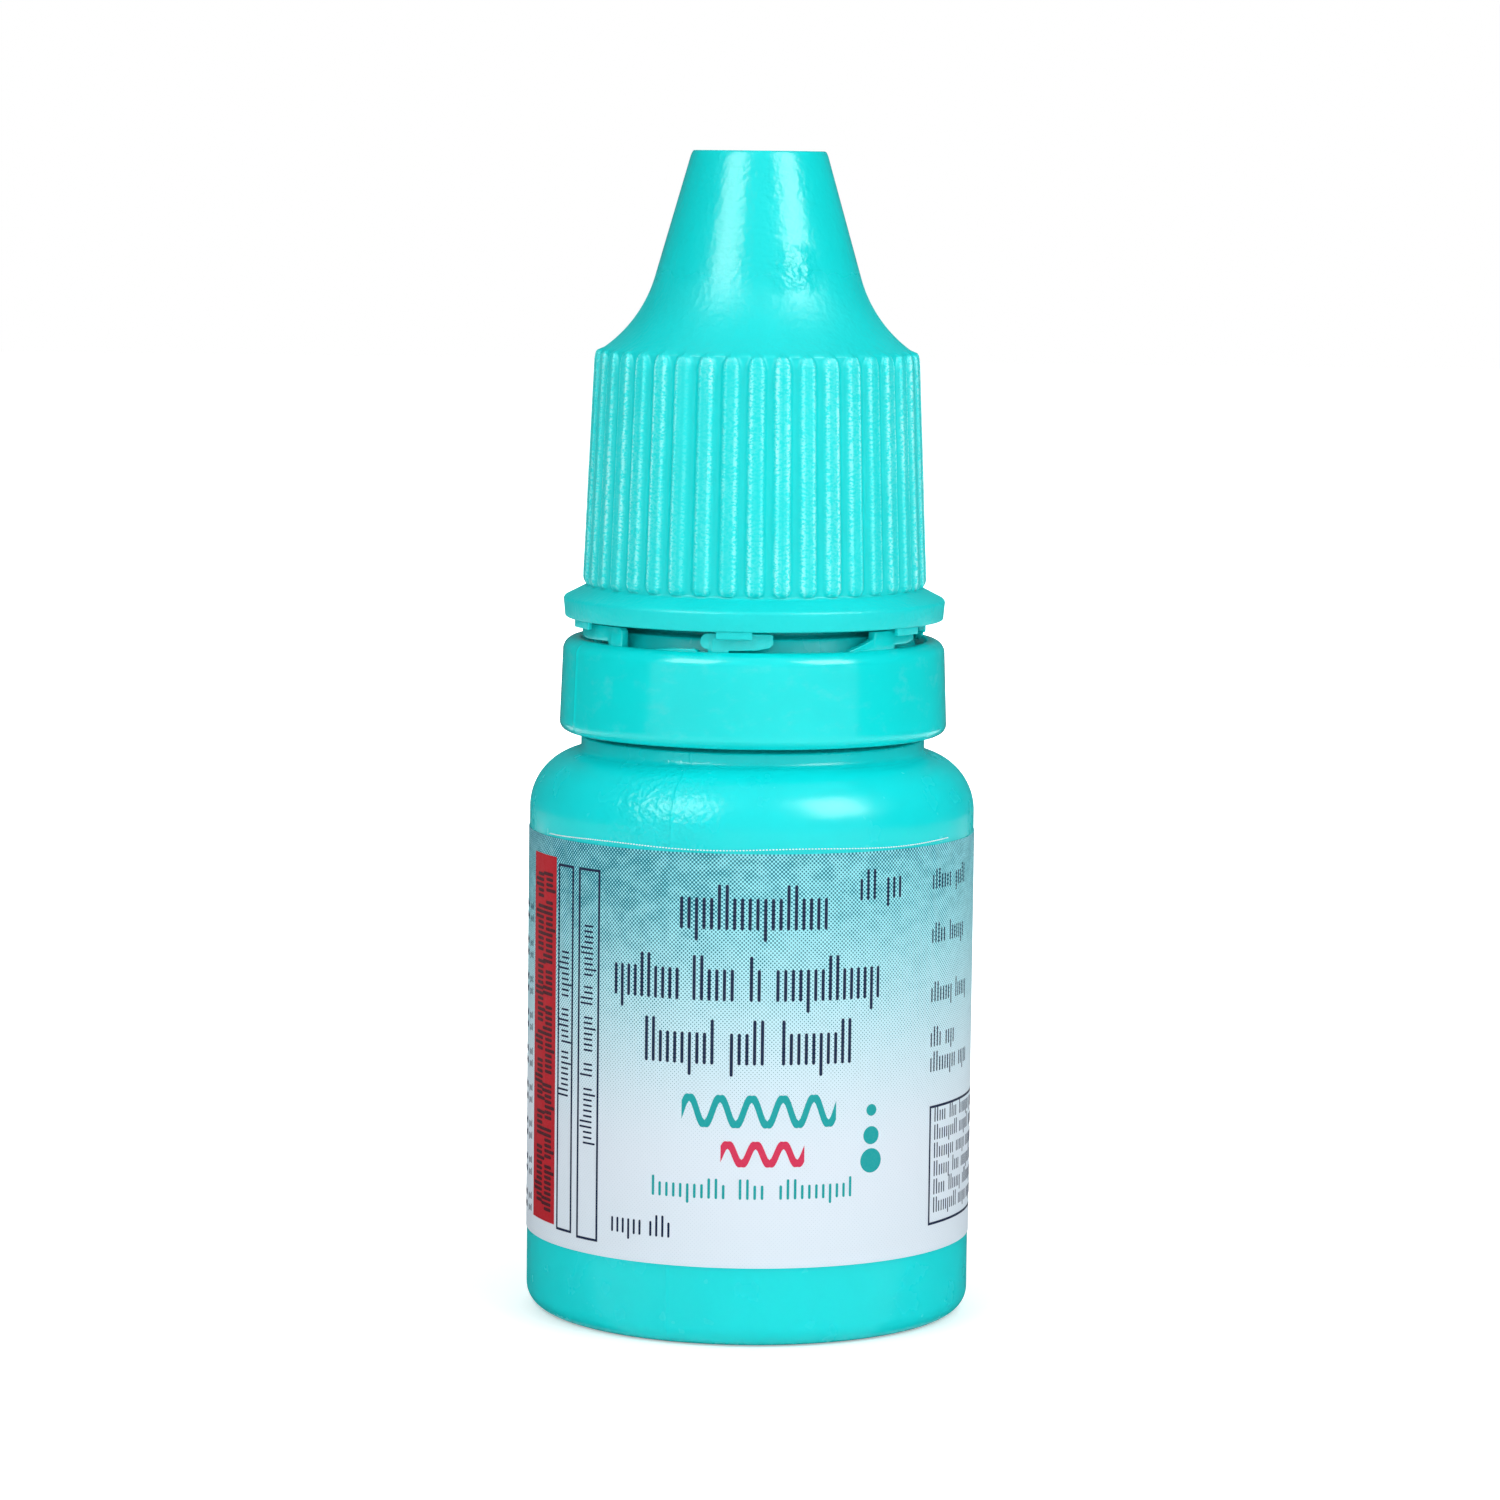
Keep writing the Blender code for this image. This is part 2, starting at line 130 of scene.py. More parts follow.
# Cap
CROWN_RADIUS = 0.00375
CROWN_ROUND = 0.00014
WAIST_RADIUS = 0.00575
WAIST_LEVEL = 0.0581
SKIRT_TOP = 0.05397
SKIRT_BOTTOM = 0.04089
SKIRT_TOP_RADIUS = 0.00908
SKIRT_BOTTOM_RADIUS = 0.00965
FLANGE_RADIUS = 0.0107
FLANGE_ROUND = 0.00025
FLANGE_EDGE_LEVEL = 0.0403
FLANGE_DRAFT = 0.00008
FLANGE_FOOT_ROUND = 0.0001
CAP_BORE_RADIUS = 0.00795
CAP_LAND_LEVEL = 0.0504
CAP_LAND_RADIUS = 0.0062
UPPER_BORE_RADIUS = 0.0060
UPPER_BORE_LEVEL = 0.0530
INNER_WAIST_RADIUS = 0.0046
INNER_CROWN_RADIUS = 0.0026
INNER_CROWN_LEVEL = 0.0639
PIN_RADIUS = 0.00065
PIN_BOTTOM = 0.0610
PIN_ROUND = 0.00025

# Ribs of the cap. Their widths are shares of half the pitch, and wear runs from 0 to 1. The wear also
# lightens the crests' colour, partly as painted sheen
RIB_COLUMNS = 16
RIB_FLAT = 0.38
RIB_CROWNING = 0.15
RIB_EDGE = 0.46
RIB_EDGE_WIDTH = 0.12
RIB_DOME = 0.0008
RIB_TIP = 0.3
RIB_FOOT = 0.0005
RIB_TIP_RISE = 0.5
RIB_TIP_WEAR = 1.2
CREST_WEAR = 0.15
LEAST_WEAR = 0.05
EROSION_GRAIN = 0.0004
EROSION_STRETCH = 0.6

# How much the ribs have been handled, and the steps through the noise from rib to rib and side to side
HANDLING_MEAN = 0.72
HANDLING_SPREAD = 0.9
HANDLING_LEAST = 0.15
HANDLING_FRONT = 0.8
HANDLING_SIDES = 0.4
HANDLING_STEPS = (0.83, 3.1, 0.5)

# Torn tabs under the cap
TAB_WIDTH = 0.0020
TAB_INNER_RADIUS = 0.01027
TAB_OUTER_RADIUS = 0.01052
TAB_HEIGHT = 0.0004
TAB_SINK = 0.0003
TAB_ROUND = 0.00005
TAB_STEPS = 6

# Nozzle
NOZZLE_FLANGE_RADIUS = 0.0069
NOZZLE_FLANGE_BOTTOM = 0.0493
NOZZLE_FLANGE_TOP = 0.0501
STEM_RADIUS = 0.0046
STEM_FILLET = 0.0006
TIP_RADIUS = 0.0019
TIP_LENGTH = 0.0018
TIP_ROUND = 0.0006
WELL_RADIUS = 0.00095
WELL_DEPTH = 0.0009
ORIFICE_RADIUS = 0.00025
ORIFICE_LENGTH = 0.0012
PLUG_RADIUS = 0.0052
PLUG_BEAD_RADIUS = 0.0054
PLUG_BEAD_HEIGHT = 0.0009
PLUG_BEAD_LEVELS = (0.04692, 0.04386)
PLUG_WALL = 0.0011
STEM_WALL = 0.0011
PLUG_LEAD = 0.0002
NOZZLE_ROUND = 0.0001
NOZZLE_COLUMNS = 96

# Marks of moulding and handling: places in millimetres, and where they are full and where they end
PEEL_PLACE = (-4.6, -10.5, 29.6)
PEEL_REACH = (1.5, 5.0)
WRINKLE_PLACE = (1.9, -5.2, 58.6)
WRINKLE_REACH = (0.4, 1.9)
WAIST_DULLNESS = 0.17

# Depths of the fine surface textures, and how far light sinks into the plastics
PEEL_DEPTH = 0.00009
RIPPLE_DEPTH = 0.00004
WRINKLE_DEPTH = 0.0003
STIPPLE_DEPTH = 0.00003
EROSION_DEPTH = 0.0001
SCUFF_DEPTH = 0.00001
WAX_DEPTH = 0.00001
FILM_DEPTH = 0.000008
LIGHT_DEPTH = 0.0014

# Label film and its screen of dots
FILM_GAP = 0.000004
FILM_COLUMNS = 240
FILM_OVERLAP = 0.0022
OVERLAP_LIFT = 1.2
OVERLAP_START = 0.0009
OVERLAP_RAMP = 0.0008
SCREEN_TONE = 0.49
SCREEN_UNEVENNESS = 0.1
SCREEN_DRIFT = 0.14
DOT_SHARPNESS = 4.0
INK_THICKNESS = 0.000008
INK_SINK = 0.000002
EDGE_GLINT_SINK = 0.00001
SHARP_ANGLE = radians(50)

# Print, in millimetres and in shares of a stroke's height or pitch
PRINT_STEP = 0.4
CORNER_STEPS = 2
CORNER_INSET = 0.49
FRAME_GAP = 0.002
FRAME_LINE = 0.14
STROKE_SHARE = 0.36
TALL_STROKE = 1.42
STROKE_TAIL = 0.36
WORD_SPACE = 1.3
NAME_SIZE = 1.75
NAME_PITCH = 0.42
NAME_SHARE = 0.42
STRIPE_SIZE = 0.9
STRIPE_PITCH = 0.3
STRIPE_SHARE = 0.64
WAVE_STEPS = 16
# The white dotted line above the label is a painted highlight of the film's top edge
GLINT_DOT_COUNT = 150
GLINT_DOT_PITCH = 0.18

# Lamps. A direction is an azimuth, counted from the camera's side towards +X, and an elevation
LAMP_AIM_HEIGHT = 0.035
LEFT_AZIMUTH = radians(-41)
RIGHT_AZIMUTH = radians(50)
SIDE_DISTANCE = 0.35
SIDE_LAMP_ELEVATION = radians(42)
SIDE_LAMP_SIZE = (0.2, 0.2)
SCREEN_ELEVATION = radians(36)
SCREEN_SIZE = (0.17, 0.2)
FILL_DISTANCE = 0.7
FILL_SIZE = (0.6, 0.3)
FRONT_FILL_DIRECTION = (radians(12), radians(8))
BACK_FILL_DIRECTION = (radians(180), radians(25))

# Grey cards beside and behind the bottle and on the floor
CARD_AZIMUTH = radians(118)
CARD_DISTANCE = 0.2
CARD_WIDTH = 0.56
CARD_HEIGHT = 0.4
BACK_CARD_DISTANCE = 0.06
BACK_CARD_WIDTH = 0.1
BACK_CARD_HEIGHT = 0.12
FLOOR_CARD_REACH = 0.055
FLOOR_CARD_FRONT = 0.010
CARD_LIFT = 0.0004

# Floor, with the distances in millimetres over which its glow grows, and the camera's near limit
FLOOR_REACH = 1.5
SHADOW_GLOW = 0.38
SEEN_GLOW_REACH = (14.0, 60.0)
MIRRORED_GLOW_REACH = (40.0, 120.0)
CAMERA_NEAR = 0.01


def display(red, green, blue):
    """A colour as a screen shows it, 0 to 255, turned into the linear values that the shaders take."""
    shares = [value / 255 for value in (red, green, blue)]
    return tuple(s / 12.92 if s < 0.04045 else ((s + 0.055) / 1.055) ** 2.4 for s in shares)


def arc(centre, radius, start, end, count):
    """Points (r, z) on an arc, from one angle to the other, both ends included."""
    turns = [start + (end - start) * step / count for step in range(count + 1)]
    return [(centre[0] + radius * cos(turn), centre[1] + radius * sin(turn)) for turn in turns]


def run(start, end, count):
    """Points on a straight line, without its last one."""
    start = np.array(start)
    along = np.array(end) - start
    return [tuple(start + along * step / count) for step in range(count)]


def smooth_step(value):
    """0 below 0 and 1 above 1, with a smooth rise between them."""
    held = np.clip(value, 0, 1)
    return held * held * (3 - 2 * held)


def even_angles(count):
    """Angles all the way round, from the back over the left, the front and the right."""
    return np.arange(count) * FULL_TURN / count - pi


def angle_gap(angles, centre):
    """How far each angle lies from a centre, the short way round."""
    return np.abs((angles - centre + pi) % FULL_TURN - pi)


def new_piece(name, points, faces):
    """A smooth mesh object in the scene."""
    mesh = bpy.data.meshes.new(name)
    mesh.from_pydata(points, [], faces)
    mesh.shade_smooth()
    piece = bpy.data.objects.new(name, mesh)
    bpy.context.scene.collection.objects.link(piece)
    return piece


def turned(name, outline, angles, relief=None, closed=False, wear=None):
    """A profile of (r, z) rows, running down its outer side, turned through a list of angles.

    The relief lifts each point of the grid outwards, and the wear is kept at each point for the material.
    A row on the axis becomes one point. A closed profile runs round and joins its own start.
    """
    rows = np.array(outline)
    radius = np.repeat(rows[:, :1], len(angles), axis=1)
    if relief is not None:
        radius = radius + relief
    height = np.repeat(rows[:, 1:], len(angles), axis=1)
    points = np.stack([radius * np.sin(angles), -radius * np.cos(angles), height], axis=2).reshape(-1, 3)
    index = np.arange(len(points)).reshape(len(rows), len(angles))
    on_axis = rows[:, 0] < ON_AXIS
    index[on_axis] = index[on_axis][:, :1]
    upper = index if closed else index[:-1]
    lower = np.roll(index, -1, axis=0) if closed else index[1:]
    quads = np.stack([upper, lower, np.roll(lower, -1, axis=1), np.roll(upper, -1, axis=1)], axis=2)
    used, packed = np.unique(quads, return_inverse=True)
    faces = [tuple(dict.fromkeys(quad)) for quad in packed.reshape(-1, 4).tolist()]
    piece = new_piece(name, points[used], faces)
    if wear is not None:
        layer = piece.data.attributes.new("wear", "FLOAT", "POINT")
        layer.data.foreach_set("value", wear.reshape(-1)[used].astype(np.float32))
    return piece


def wrapped(name, strips, inner, outer, lift=None):
    """Closed slabs that follow a cylinder.

    Each strip is a list of columns (arc, low, high). The lift gives how far the slab stands off at an arc.
    """
    points = []
    faces = []
    for strip in strips:
        first = len(points)
        for along, low, high in strip:
            angle = along / outer
            raised = lift(along) if lift else 0
            for radius, level in ((outer, low), (outer, high), (inner, high), (inner, low)):
                radius += raised
                points.append((radius * sin(angle), -radius * cos(angle), level))
        for column in range(len(strip) - 1):
            base = first + 4 * column
            for side in range(4):
                other = (side + 1) % 4
                faces.append((base + side, base + 4 + side, base + 4 + other, base + other))
        last = len(points) - 4
        faces.append((first, first + 1, first + 2, first + 3))
        faces.append((last + 3, last + 2, last + 1, last))
    return new_piece(name, points, faces)


def soften(piece, width):
    """Rounds the edges of a slab."""
    bevel = piece.modifiers.new("round", "BEVEL")
    bevel.width = width
    bevel.segments = 3
    bevel.limit_method = "ANGLE"
    bevel.angle_limit = radians(35)
    bevel.harden_normals = False


def finish_piece(piece, material, body, slot, *nodes):
    """Gives a piece its material and its body, and hides the CAD nodes that it stands for. The slot is not
    used.
    """
    piece.data.materials.append(material)
    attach(piece, body)
    if nodes:
        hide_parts(*nodes)
    return piece


def thread_relief(rows, angles, height, phase):
    """A right-hand screw thread with rounded crests that fades in and out at its ends.

    The phase turns it about the axis.
    """
    levels = np.array(rows)[:, 1:]
    relief = np.zeros((len(rows), len(angles)))
    start = angles[None, :] % FULL_TURN
    for turn in range(int(THREAD_TURNS) + 2):
        travelled = start + turn * FULL_TURN - phase
        inside = (travelled >= 0) & (travelled <= THREAD_TURNS * FULL_TURN)
        left = THREAD_TURNS * FULL_TURN - travelled
        fade = smooth_step(travelled / THREAD_FADE) * smooth_step(left / THREAD_FADE)
        centre = THREAD_START + THREAD_PITCH * travelled / FULL_TURN
        away = np.abs(levels - centre) / (THREAD_WIDTH / 2)
        relief = np.maximum(relief, height * inside * fade * smooth_step(THREAD_CREST * (1 - away)))
    return relief


class Shader:
    """A material whose nodes are added by short calls."""

    def __init__(self, name):
        self.material = bpy.data.materials.new(name)
        self.material.use_nodes = True
        self.tree = self.material.node_tree
        self.surface = self.tree.nodes["Principled BSDF"]

    def set(self, **values):
        """Constant values, written on the surface shader's own sockets."""
        for name, value in values.items():
            self.surface.inputs[name.replace("_", " ").title().replace("Ior", "IOR")].default_value = value

    def add(self, kind, feeds, **options):
        """A node with its options set and its sockets fed by values or by other nodes' outputs."""
        made = self.tree.nodes.new(kind)
        for name, value in options.items():
            setattr(made, name, value)
        for name, value in feeds.items():
            if isinstance(value, bpy.types.NodeSocket):
                self.tree.links.new(value, made.inputs[name])
            else:
                made.inputs[name].default_value = value
        return made

    def link(self, value, name):
        """Feeds one of the surface shader's sockets with a node's output."""
        self.tree.links.new(value, self.surface.inputs[name])

    def maths(self, operation, first, second=0.0):
        return self.add("ShaderNodeMath", {0: first, 1: second}, operation=operation).outputs[0]

    def times(self, first, second):
        return self.maths("MULTIPLY", first, second)

    def plus(self, first, second):
        return self.maths("ADD", first, second)

    def place(self, stretch=(1, 1, 1)):
        """The object's own coordinates in millimetres, stretched along each axis."""
        where = self.add("ShaderNodeTexCoord", {}).outputs["Object"]
        scale = [value / MILLIMETRE for value in stretch]
        return self.add("ShaderNodeMapping", {"Vector": where, "Scale": scale}).outputs[0]

    def near(self, spot, full, none):
        """1 close to a spot given in millimetres, fading to 0 between two distances from it."""
        away = self.add("ShaderNodeVectorMath", {0: self.place(), 1: spot}, operation="DISTANCE")
        return self.band(away.outputs["Value"], full, none, 1.0, 0.0)

    def clouds(self, size, detail=3.0, stretch=(1, 1, 1), roughness=0.5):
        """Noise from 0 to 1 whose features are about this many millimetres across."""
        feeds = {"Vector": self.place(stretch), "Scale": 1 / size, "Detail": detail, "Roughness": roughness}
        return self.add("ShaderNodeTexNoise", feeds).outputs["Fac"]

    def band(self, value, low, high, to_low=0.0, to_high=1.0):
        """One value turned smoothly into another: to_low up to low, to_high from high on."""
        feeds = {"Value": value, "From Min": low, "From Max": high, "To Min": to_low, "To Max": to_high}
        return self.add("ShaderNodeMapRange", feeds, interpolation_type="SMOOTHSTEP").outputs[0]

    def mix(self, factor, first, second):
        """A blend of two colours: the first at 0, the second at 1."""
        made = self.tree.nodes.new("ShaderNodeMix")
        made.data_type = "RGBA"
        for index, value in ((0, factor), (6, first), (7, second)):
            if isinstance(value, bpy.types.NodeSocket):
                self.tree.links.new(value, made.inputs[index])
            else:
                made.inputs[index].default_value = value if index == 0 else (*value, 1)
        return made.outputs[2]

    def bump(self, height, depth, under=None):
        """A bump this deep, in metres, over the bump that lies under it."""
        feeds = {"Height": height, "Strength": 1.0, "Distance": depth}
        if under:
            feeds["Normal"] = under
        return self.add("ShaderNodeBump", feeds).outputs[0]


def lightened(colour, share):
    """A colour moved this share of the way to white."""
    return tuple(value + (1 - value) * share for value in colour)


def dimmed(colour, share):
    """A colour moved this share of the way to black."""
    return tuple(value * (1 - share) for value in colour)


def moulded(name, colour, gloss, depth):
    """The start of each moulded plastic: glossy, and soft where light sinks in."""
    shader = Shader(name)
    shader.set(ior=1.5, specular_ior_level=0.32)
    shader.set(subsurface_weight=depth, subsurface_radius=(0.1, 1.0, 1.0), subsurface_scale=LIGHT_DEPTH)
    shader.tone = shader.mix(shader.band(shader.clouds(5.0), 0.3, 0.7), dimmed(colour, 0.04), colour)
    shader.gloss = shader.band(shader.clouds(2.0), 0.3, 0.7, gloss, gloss + 0.05)
    return shader


def squeeze_plastic(finish):
    """Soft, slightly translucent plastic with orange peel that comes and goes."""
    shader = moulded("squeeze_plastic", tuple(finish.bottle_colour), finish.bottle_roughness, 0.4)
    shader.link(shader.tone, "Base Color")
    shader.link(shader.gloss, "Roughness")
    near = shader.near(PEEL_PLACE, *PEEL_REACH)
    place = shader.maths("MAXIMUM", near, shader.band(shader.clouds(4.5), 0.45, 0.65, 0.0, 0.07))
    ripples = shader.bump(shader.clouds(2.6, 1.0), RIPPLE_DEPTH)
    peel = shader.bump(shader.times(shader.clouds(0.34, 2.0), place), PEEL_DEPTH, ripples)
    shader.link(peel, "Normal")
    return shader.material


def cap_plastic(finish):
    """Moulded cap plastic: glossy on the cone, duller below the waist, eroded on the edges of its ribs, where
    the lighter crests and pale flecks are partly real wear and partly painted sheen and glints.
    """
    # The cap's colour is a darker copy of the ring's: painted shade
    colour = tuple(finish.cap_shaded_colour)
    shader = moulded("cap_plastic", colour, finish.cap_roughness, 0.25)
    worn = shader.add("ShaderNodeAttribute", {}, attribute_name="wear").outputs["Fac"]
    # Lighter crests and pale flecks on worn rib edges: partly real wear, partly painted sheen and glints
    flecks = shader.band(shader.clouds(0.19, 3.0, (1, 1, 1.5)), 0.4, 0.58)
    patches = shader.band(shader.clouds(1.8, 2.0, (1, 1, 0.3)), 0.34, 0.58, 0.35, 1.0)
    frosting_and_glints = shader.times(shader.times(worn, flecks), patches)
    edge = shader.mix(worn, shader.tone, tuple(finish.crest_wear_and_sheen_colour))
    shader.link(shader.mix(frosting_and_glints, edge, tuple(finish.fleck_wear_and_glint_colour)), "Base Color")
    stipple = shader.bump(shader.clouds(0.33, 1.0), STIPPLE_DEPTH)
    wrinkles = shader.times(shader.clouds(0.8, 3.0), shader.near(WRINKLE_PLACE, *WRINKLE_REACH))
    wrinkled = shader.bump(wrinkles, WRINKLE_DEPTH, stipple)
    rough = shader.times(worn, shader.clouds(0.21, 3.0, (1, 1, 1.5)))
    shader.link(shader.bump(rough, EROSION_DEPTH, wrinkled), "Normal")
    height = shader.add("ShaderNodeSeparateXYZ", {0: shader.place()}).outputs[2]
    waist = WAIST_LEVEL / MILLIMETRE
    ragged = shader.plus(height, shader.clouds(1.3))
    duller = shader.band(ragged, waist - 1.3, waist + 1.7, WAIST_DULLNESS, 0.0)
    shader.link(shader.plus(shader.gloss, duller), "Roughness")
    return shader.material


def ring_plastic(finish):
    """The cap's plastic with the faint scuffs of handling."""
    colour = tuple(finish.ring_colour)
    shader = moulded("ring_plastic", colour, finish.ring_roughness, 0.3)
    scuffs = shader.band(shader.clouds(1.5, 5.0, (1, 1, 1.6), 0.62), 0.52, 0.78)
    scuffed = shader.mix(shader.times(scuffs, 0.16), shader.tone, lightened(colour, 0.2))
    shader.link(scuffed, "Base Color")
    shader.link(shader.bump(shader.clouds(0.5, 3.0), SCUFF_DEPTH), "Normal")
    shader.link(shader.plus(shader.gloss, shader.times(scuffs, 0.1)), "Roughness")
    return shader.material


def nozzle_plastic(finish):
    """Milky, waxy plastic."""
    colour = tuple(finish.nozzle_colour)
    shader = moulded("nozzle_plastic", colour, 0.3, 0.6)
    shader.link(shader.mix(shader.clouds(2.5), shader.tone, lightened(colour, 0.25)), "Base Color")
    shader.link(shader.bump(shader.clouds(0.6, 2.0), WAX_DEPTH), "Normal")
    shader.link(shader.gloss, "Roughness")
    return shader.material


def label_film(finish, sizes):
    """Printed film: a pale ground with a screen of fine dots that fades out downwards."""
    shader = Shader("label_film")
    where = shader.add("ShaderNodeSeparateXYZ", {0: shader.place()})
    angle = shader.maths("ARCTAN2", where.outputs[0], shader.times(where.outputs[1], -1))
    along = shader.times(angle, LABEL_HIGH.x / MILLIMETRE)
    height = where.outputs[2]
    rate = FULL_TURN * MILLIMETRE / (sqrt(2) * sizes.dot_pitch)
    rising = shader.maths("COSINE", shader.times(shader.plus(along, height), rate))
    falling = shader.maths("COSINE", shader.times(shader.maths("SUBTRACT", along, height), rate))
    screen = shader.times(shader.plus(rising, falling), 0.5)
    top = LABEL_HIGH.z / MILLIMETRE
    fade = sizes.fade_height / MILLIMETRE
    share = shader.band(height, fade, top)
    tone = shader.band(height, fade, top + 2.0, 0.0, SCREEN_TONE)
    blotches = shader.clouds(0.9, 4.0, (1, 1, 1.5), 0.6)
    ripples = shader.band(blotches, 0.25, 0.75, -SCREEN_UNEVENNESS, SCREEN_UNEVENNESS)
    drift = shader.band(along, -11.0, 3.0, SCREEN_DRIFT, 0.0)
    cover = shader.plus(tone, shader.times(shader.plus(ripples, drift), share))
    over = shader.maths("SUBTRACT", shader.plus(screen, shader.times(cover, 2.0)), 1.0)
    feeds = {0: over, 1: DOT_SHARPNESS, 2: 0.5}
    dots = shader.add("ShaderNodeMath", feeds, operation="MULTIPLY_ADD", use_clamp=True)
    ground = shader.mix(share, tuple(finish.label_colour), tuple(finish.tint_colour))
    shader.link(shader.mix(dots.outputs[0], ground, tuple(finish.dot_colour)), "Base Color")
    shader.link(shader.bump(shader.clouds(0.8, 3.0), FILM_DEPTH), "Normal")
    shader.link(shader.band(shader.clouds(0.6), 0.3, 0.7, 0.45, 0.52), "Roughness")
    shader.set(ior=1.45, specular_ior_level=0.12)
    return shader.material


def ink(name, colour):
    """Printing ink, a little uneven in its strength."""
    shader = Shader(name)
    shader.link(shader.mix(shader.clouds(0.12, 3.0), colour, lightened(colour, 0.03)), "Base Color")
    shader.link(shader.band(shader.clouds(0.5), 0.3, 0.7, 0.45, 0.52), "Roughness")
    shader.set(ior=1.45, specular_ior_level=0.04)
    return shader.material


def mould_bottle(sizes):
    """The hollow squeeze bottle with its parting lines and the screw thread on its neck."""
    body = LABEL_HIGH.x
    shoulder = (body - SHOULDER_RADIUS, BODY_HEIGHT - SHOULDER_RADIUS)
    fillet_foot = COLLAR_RADIUS + COLLAR_FILLET
    reach = fillet_foot - shoulder[0]
    rise = sqrt(SHOULDER_RADIUS**2 - reach**2)
    fillet = (fillet_foot, shoulder[1] + rise + COLLAR_FILLET)
    heel_radius = sizes.heel_radius
    heel = (body - heel_radius, heel_radius)
    inner = body - WALL
    floor = PUSH_UP + WALL
    ceiling = BODY_HEIGHT - WALL
    corner = SHOULDER_RADIUS - WALL
    lip = BOTTLE_HIGH.z
    outline = [(0, floor)]
    outline += arc((inner - heel_radius, floor + heel_radius), heel_radius, -pi / 2, 0, 6)
    outline += arc((inner - corner, ceiling - corner), corner, 0, pi / 2, 8)
    outline += [(NECK_BORE_RADIUS, ceiling)]
    outline += run((NECK_BORE_RADIUS, ceiling + LIP_ROUND), (NECK_BORE_RADIUS, lip - LIP_ROUND), 8)
    outline += arc((NECK_BORE_RADIUS + LIP_ROUND, lip - LIP_ROUND), LIP_ROUND, pi, pi / 2, 4)
    outline += arc((NECK_RADIUS - LIP_ROUND, lip - LIP_ROUND), LIP_ROUND, pi / 2, 0, 4)
    thread_first = len(outline)
    outline += run((NECK_RADIUS, lip - 2 * LIP_ROUND), (NECK_RADIUS, BEAD_TOP), 110)
    thread_last = len(outline)
    outline += [(NECK_RADIUS, BEAD_TOP)]
    bead_edge = (BEAD_RADIUS - BEAD_TAPER - COLLAR_ROUND, BEAD_TOP - COLLAR_ROUND)
    outline += arc(bead_edge, COLLAR_ROUND, pi / 2, 0, 3)
    outline += [(BEAD_RADIUS, BEAD_BOTTOM + BEAD_LAND), (BEAD_RADIUS, BEAD_BOTTOM + COLLAR_ROUND)]
    outline += [(BEAD_RADIUS - COLLAR_ROUND, BEAD_BOTTOM), (LOWER_NECK_RADIUS, BEAD_BOTTOM)]
    outline += [(LOWER_NECK_RADIUS, COLLAR_TOP)]
    seam_first = len(outline)
    outline += arc((COLLAR_RADIUS - COLLAR_ROUND, COLLAR_TOP - COLLAR_ROUND), COLLAR_ROUND, pi / 2, 0, 4)
    outline += arc(fillet, COLLAR_FILLET, pi, 3 * pi / 2, 6)[:-1]
    outline += arc(shoulder, SHOULDER_RADIUS, atan2(rise, reach), 0, 28)
    outline += run((body, shoulder[1] - WALL_START), (body, heel_radius), 24)
    outline += arc(heel, heel_radius, 0, -pi / 2, 12)
    foot_inner = heel[0] - FOOT_WIDTH
    outline += [(foot_inner, 0)]
    outline += arc((foot_inner - PUSH_UP, 0), PUSH_UP, 0, pi / 2, 6)[1:]
    outline += run((foot_inner - 2 * PUSH_UP, PUSH_UP), (0, PUSH_UP), 6) + [(0, PUSH_UP)]
    parting = sizes.parting_angle
    beside = np.array([-2.0, -1.0, -0.5, 0, 0.5, 1.0, 2.0]) * PARTING_WIDTH / body
    angles = np.concatenate([even_angles(BODY_COLUMNS), parting + beside, parting + pi + beside])
    angles = np.unique((angles + pi) % FULL_TURN - pi)
    relief = np.zeros((len(outline), len(angles)))
    threaded = slice(thread_first, thread_last)
    relief[threaded] = thread_relief(outline[threaded], angles, NECK_THREAD_HEIGHT, 0)
    gap = np.minimum(angle_gap(angles, parting), angle_gap(angles, parting + pi)) * body
    seam = sizes.parting_height * smooth_step(1 - gap / PARTING_WIDTH)
    seam_rows = [index for index in range(seam_first, len(outline)) if outline[index][0] > foot_inner]
    relief[seam_rows] = seam
    return turned("squeeze_bottle", outline, angles, relief)


def capsule(left, bottom, width, height, corner, steps=CORNER_STEPS):
    """The columns of a bar with rounded corners."""
    corner = min(corner, width / 2, height / 2)
    straight = width - 2 * corner
    ends = []
    for step in range(steps + 1 if corner else 1):
        turn = pi / 2 * step / steps
        inset = min(corner * (1 - sin(turn)), height * CORNER_INSET)
        ends.append((corner * (1 - cos(turn)), inset))
    count = max(1, round(straight / PRINT_STEP))
    middle = [(left + corner + straight * i / count, 0) for i in range(1, count)]
    columns = [(left + out, inset) for out, inset in ends] + middle
    other_end = ends if straight > FRAME_GAP else ends[:-1]
    columns += [(left + width - out, inset) for out, inset in reversed(other_end)]
    return [(along, bottom + inset, bottom + height - inset) for along, inset in columns]


def frame_bars(left, bottom, width, height):
    """The four lines of a plain box. The upright ones end just short of the others."""
    inset = FRAME_LINE + FRAME_GAP
    return [
        capsule(left, bottom, width, FRAME_LINE, 0),
        capsule(left, bottom + height - FRAME_LINE, width, FRAME_LINE, 0),
        capsule(left, bottom + inset, FRAME_LINE, height - 2 * inset, 0),
        capsule(left + width - FRAME_LINE, bottom + inset, FRAME_LINE, height - 2 * inset, 0),
    ]


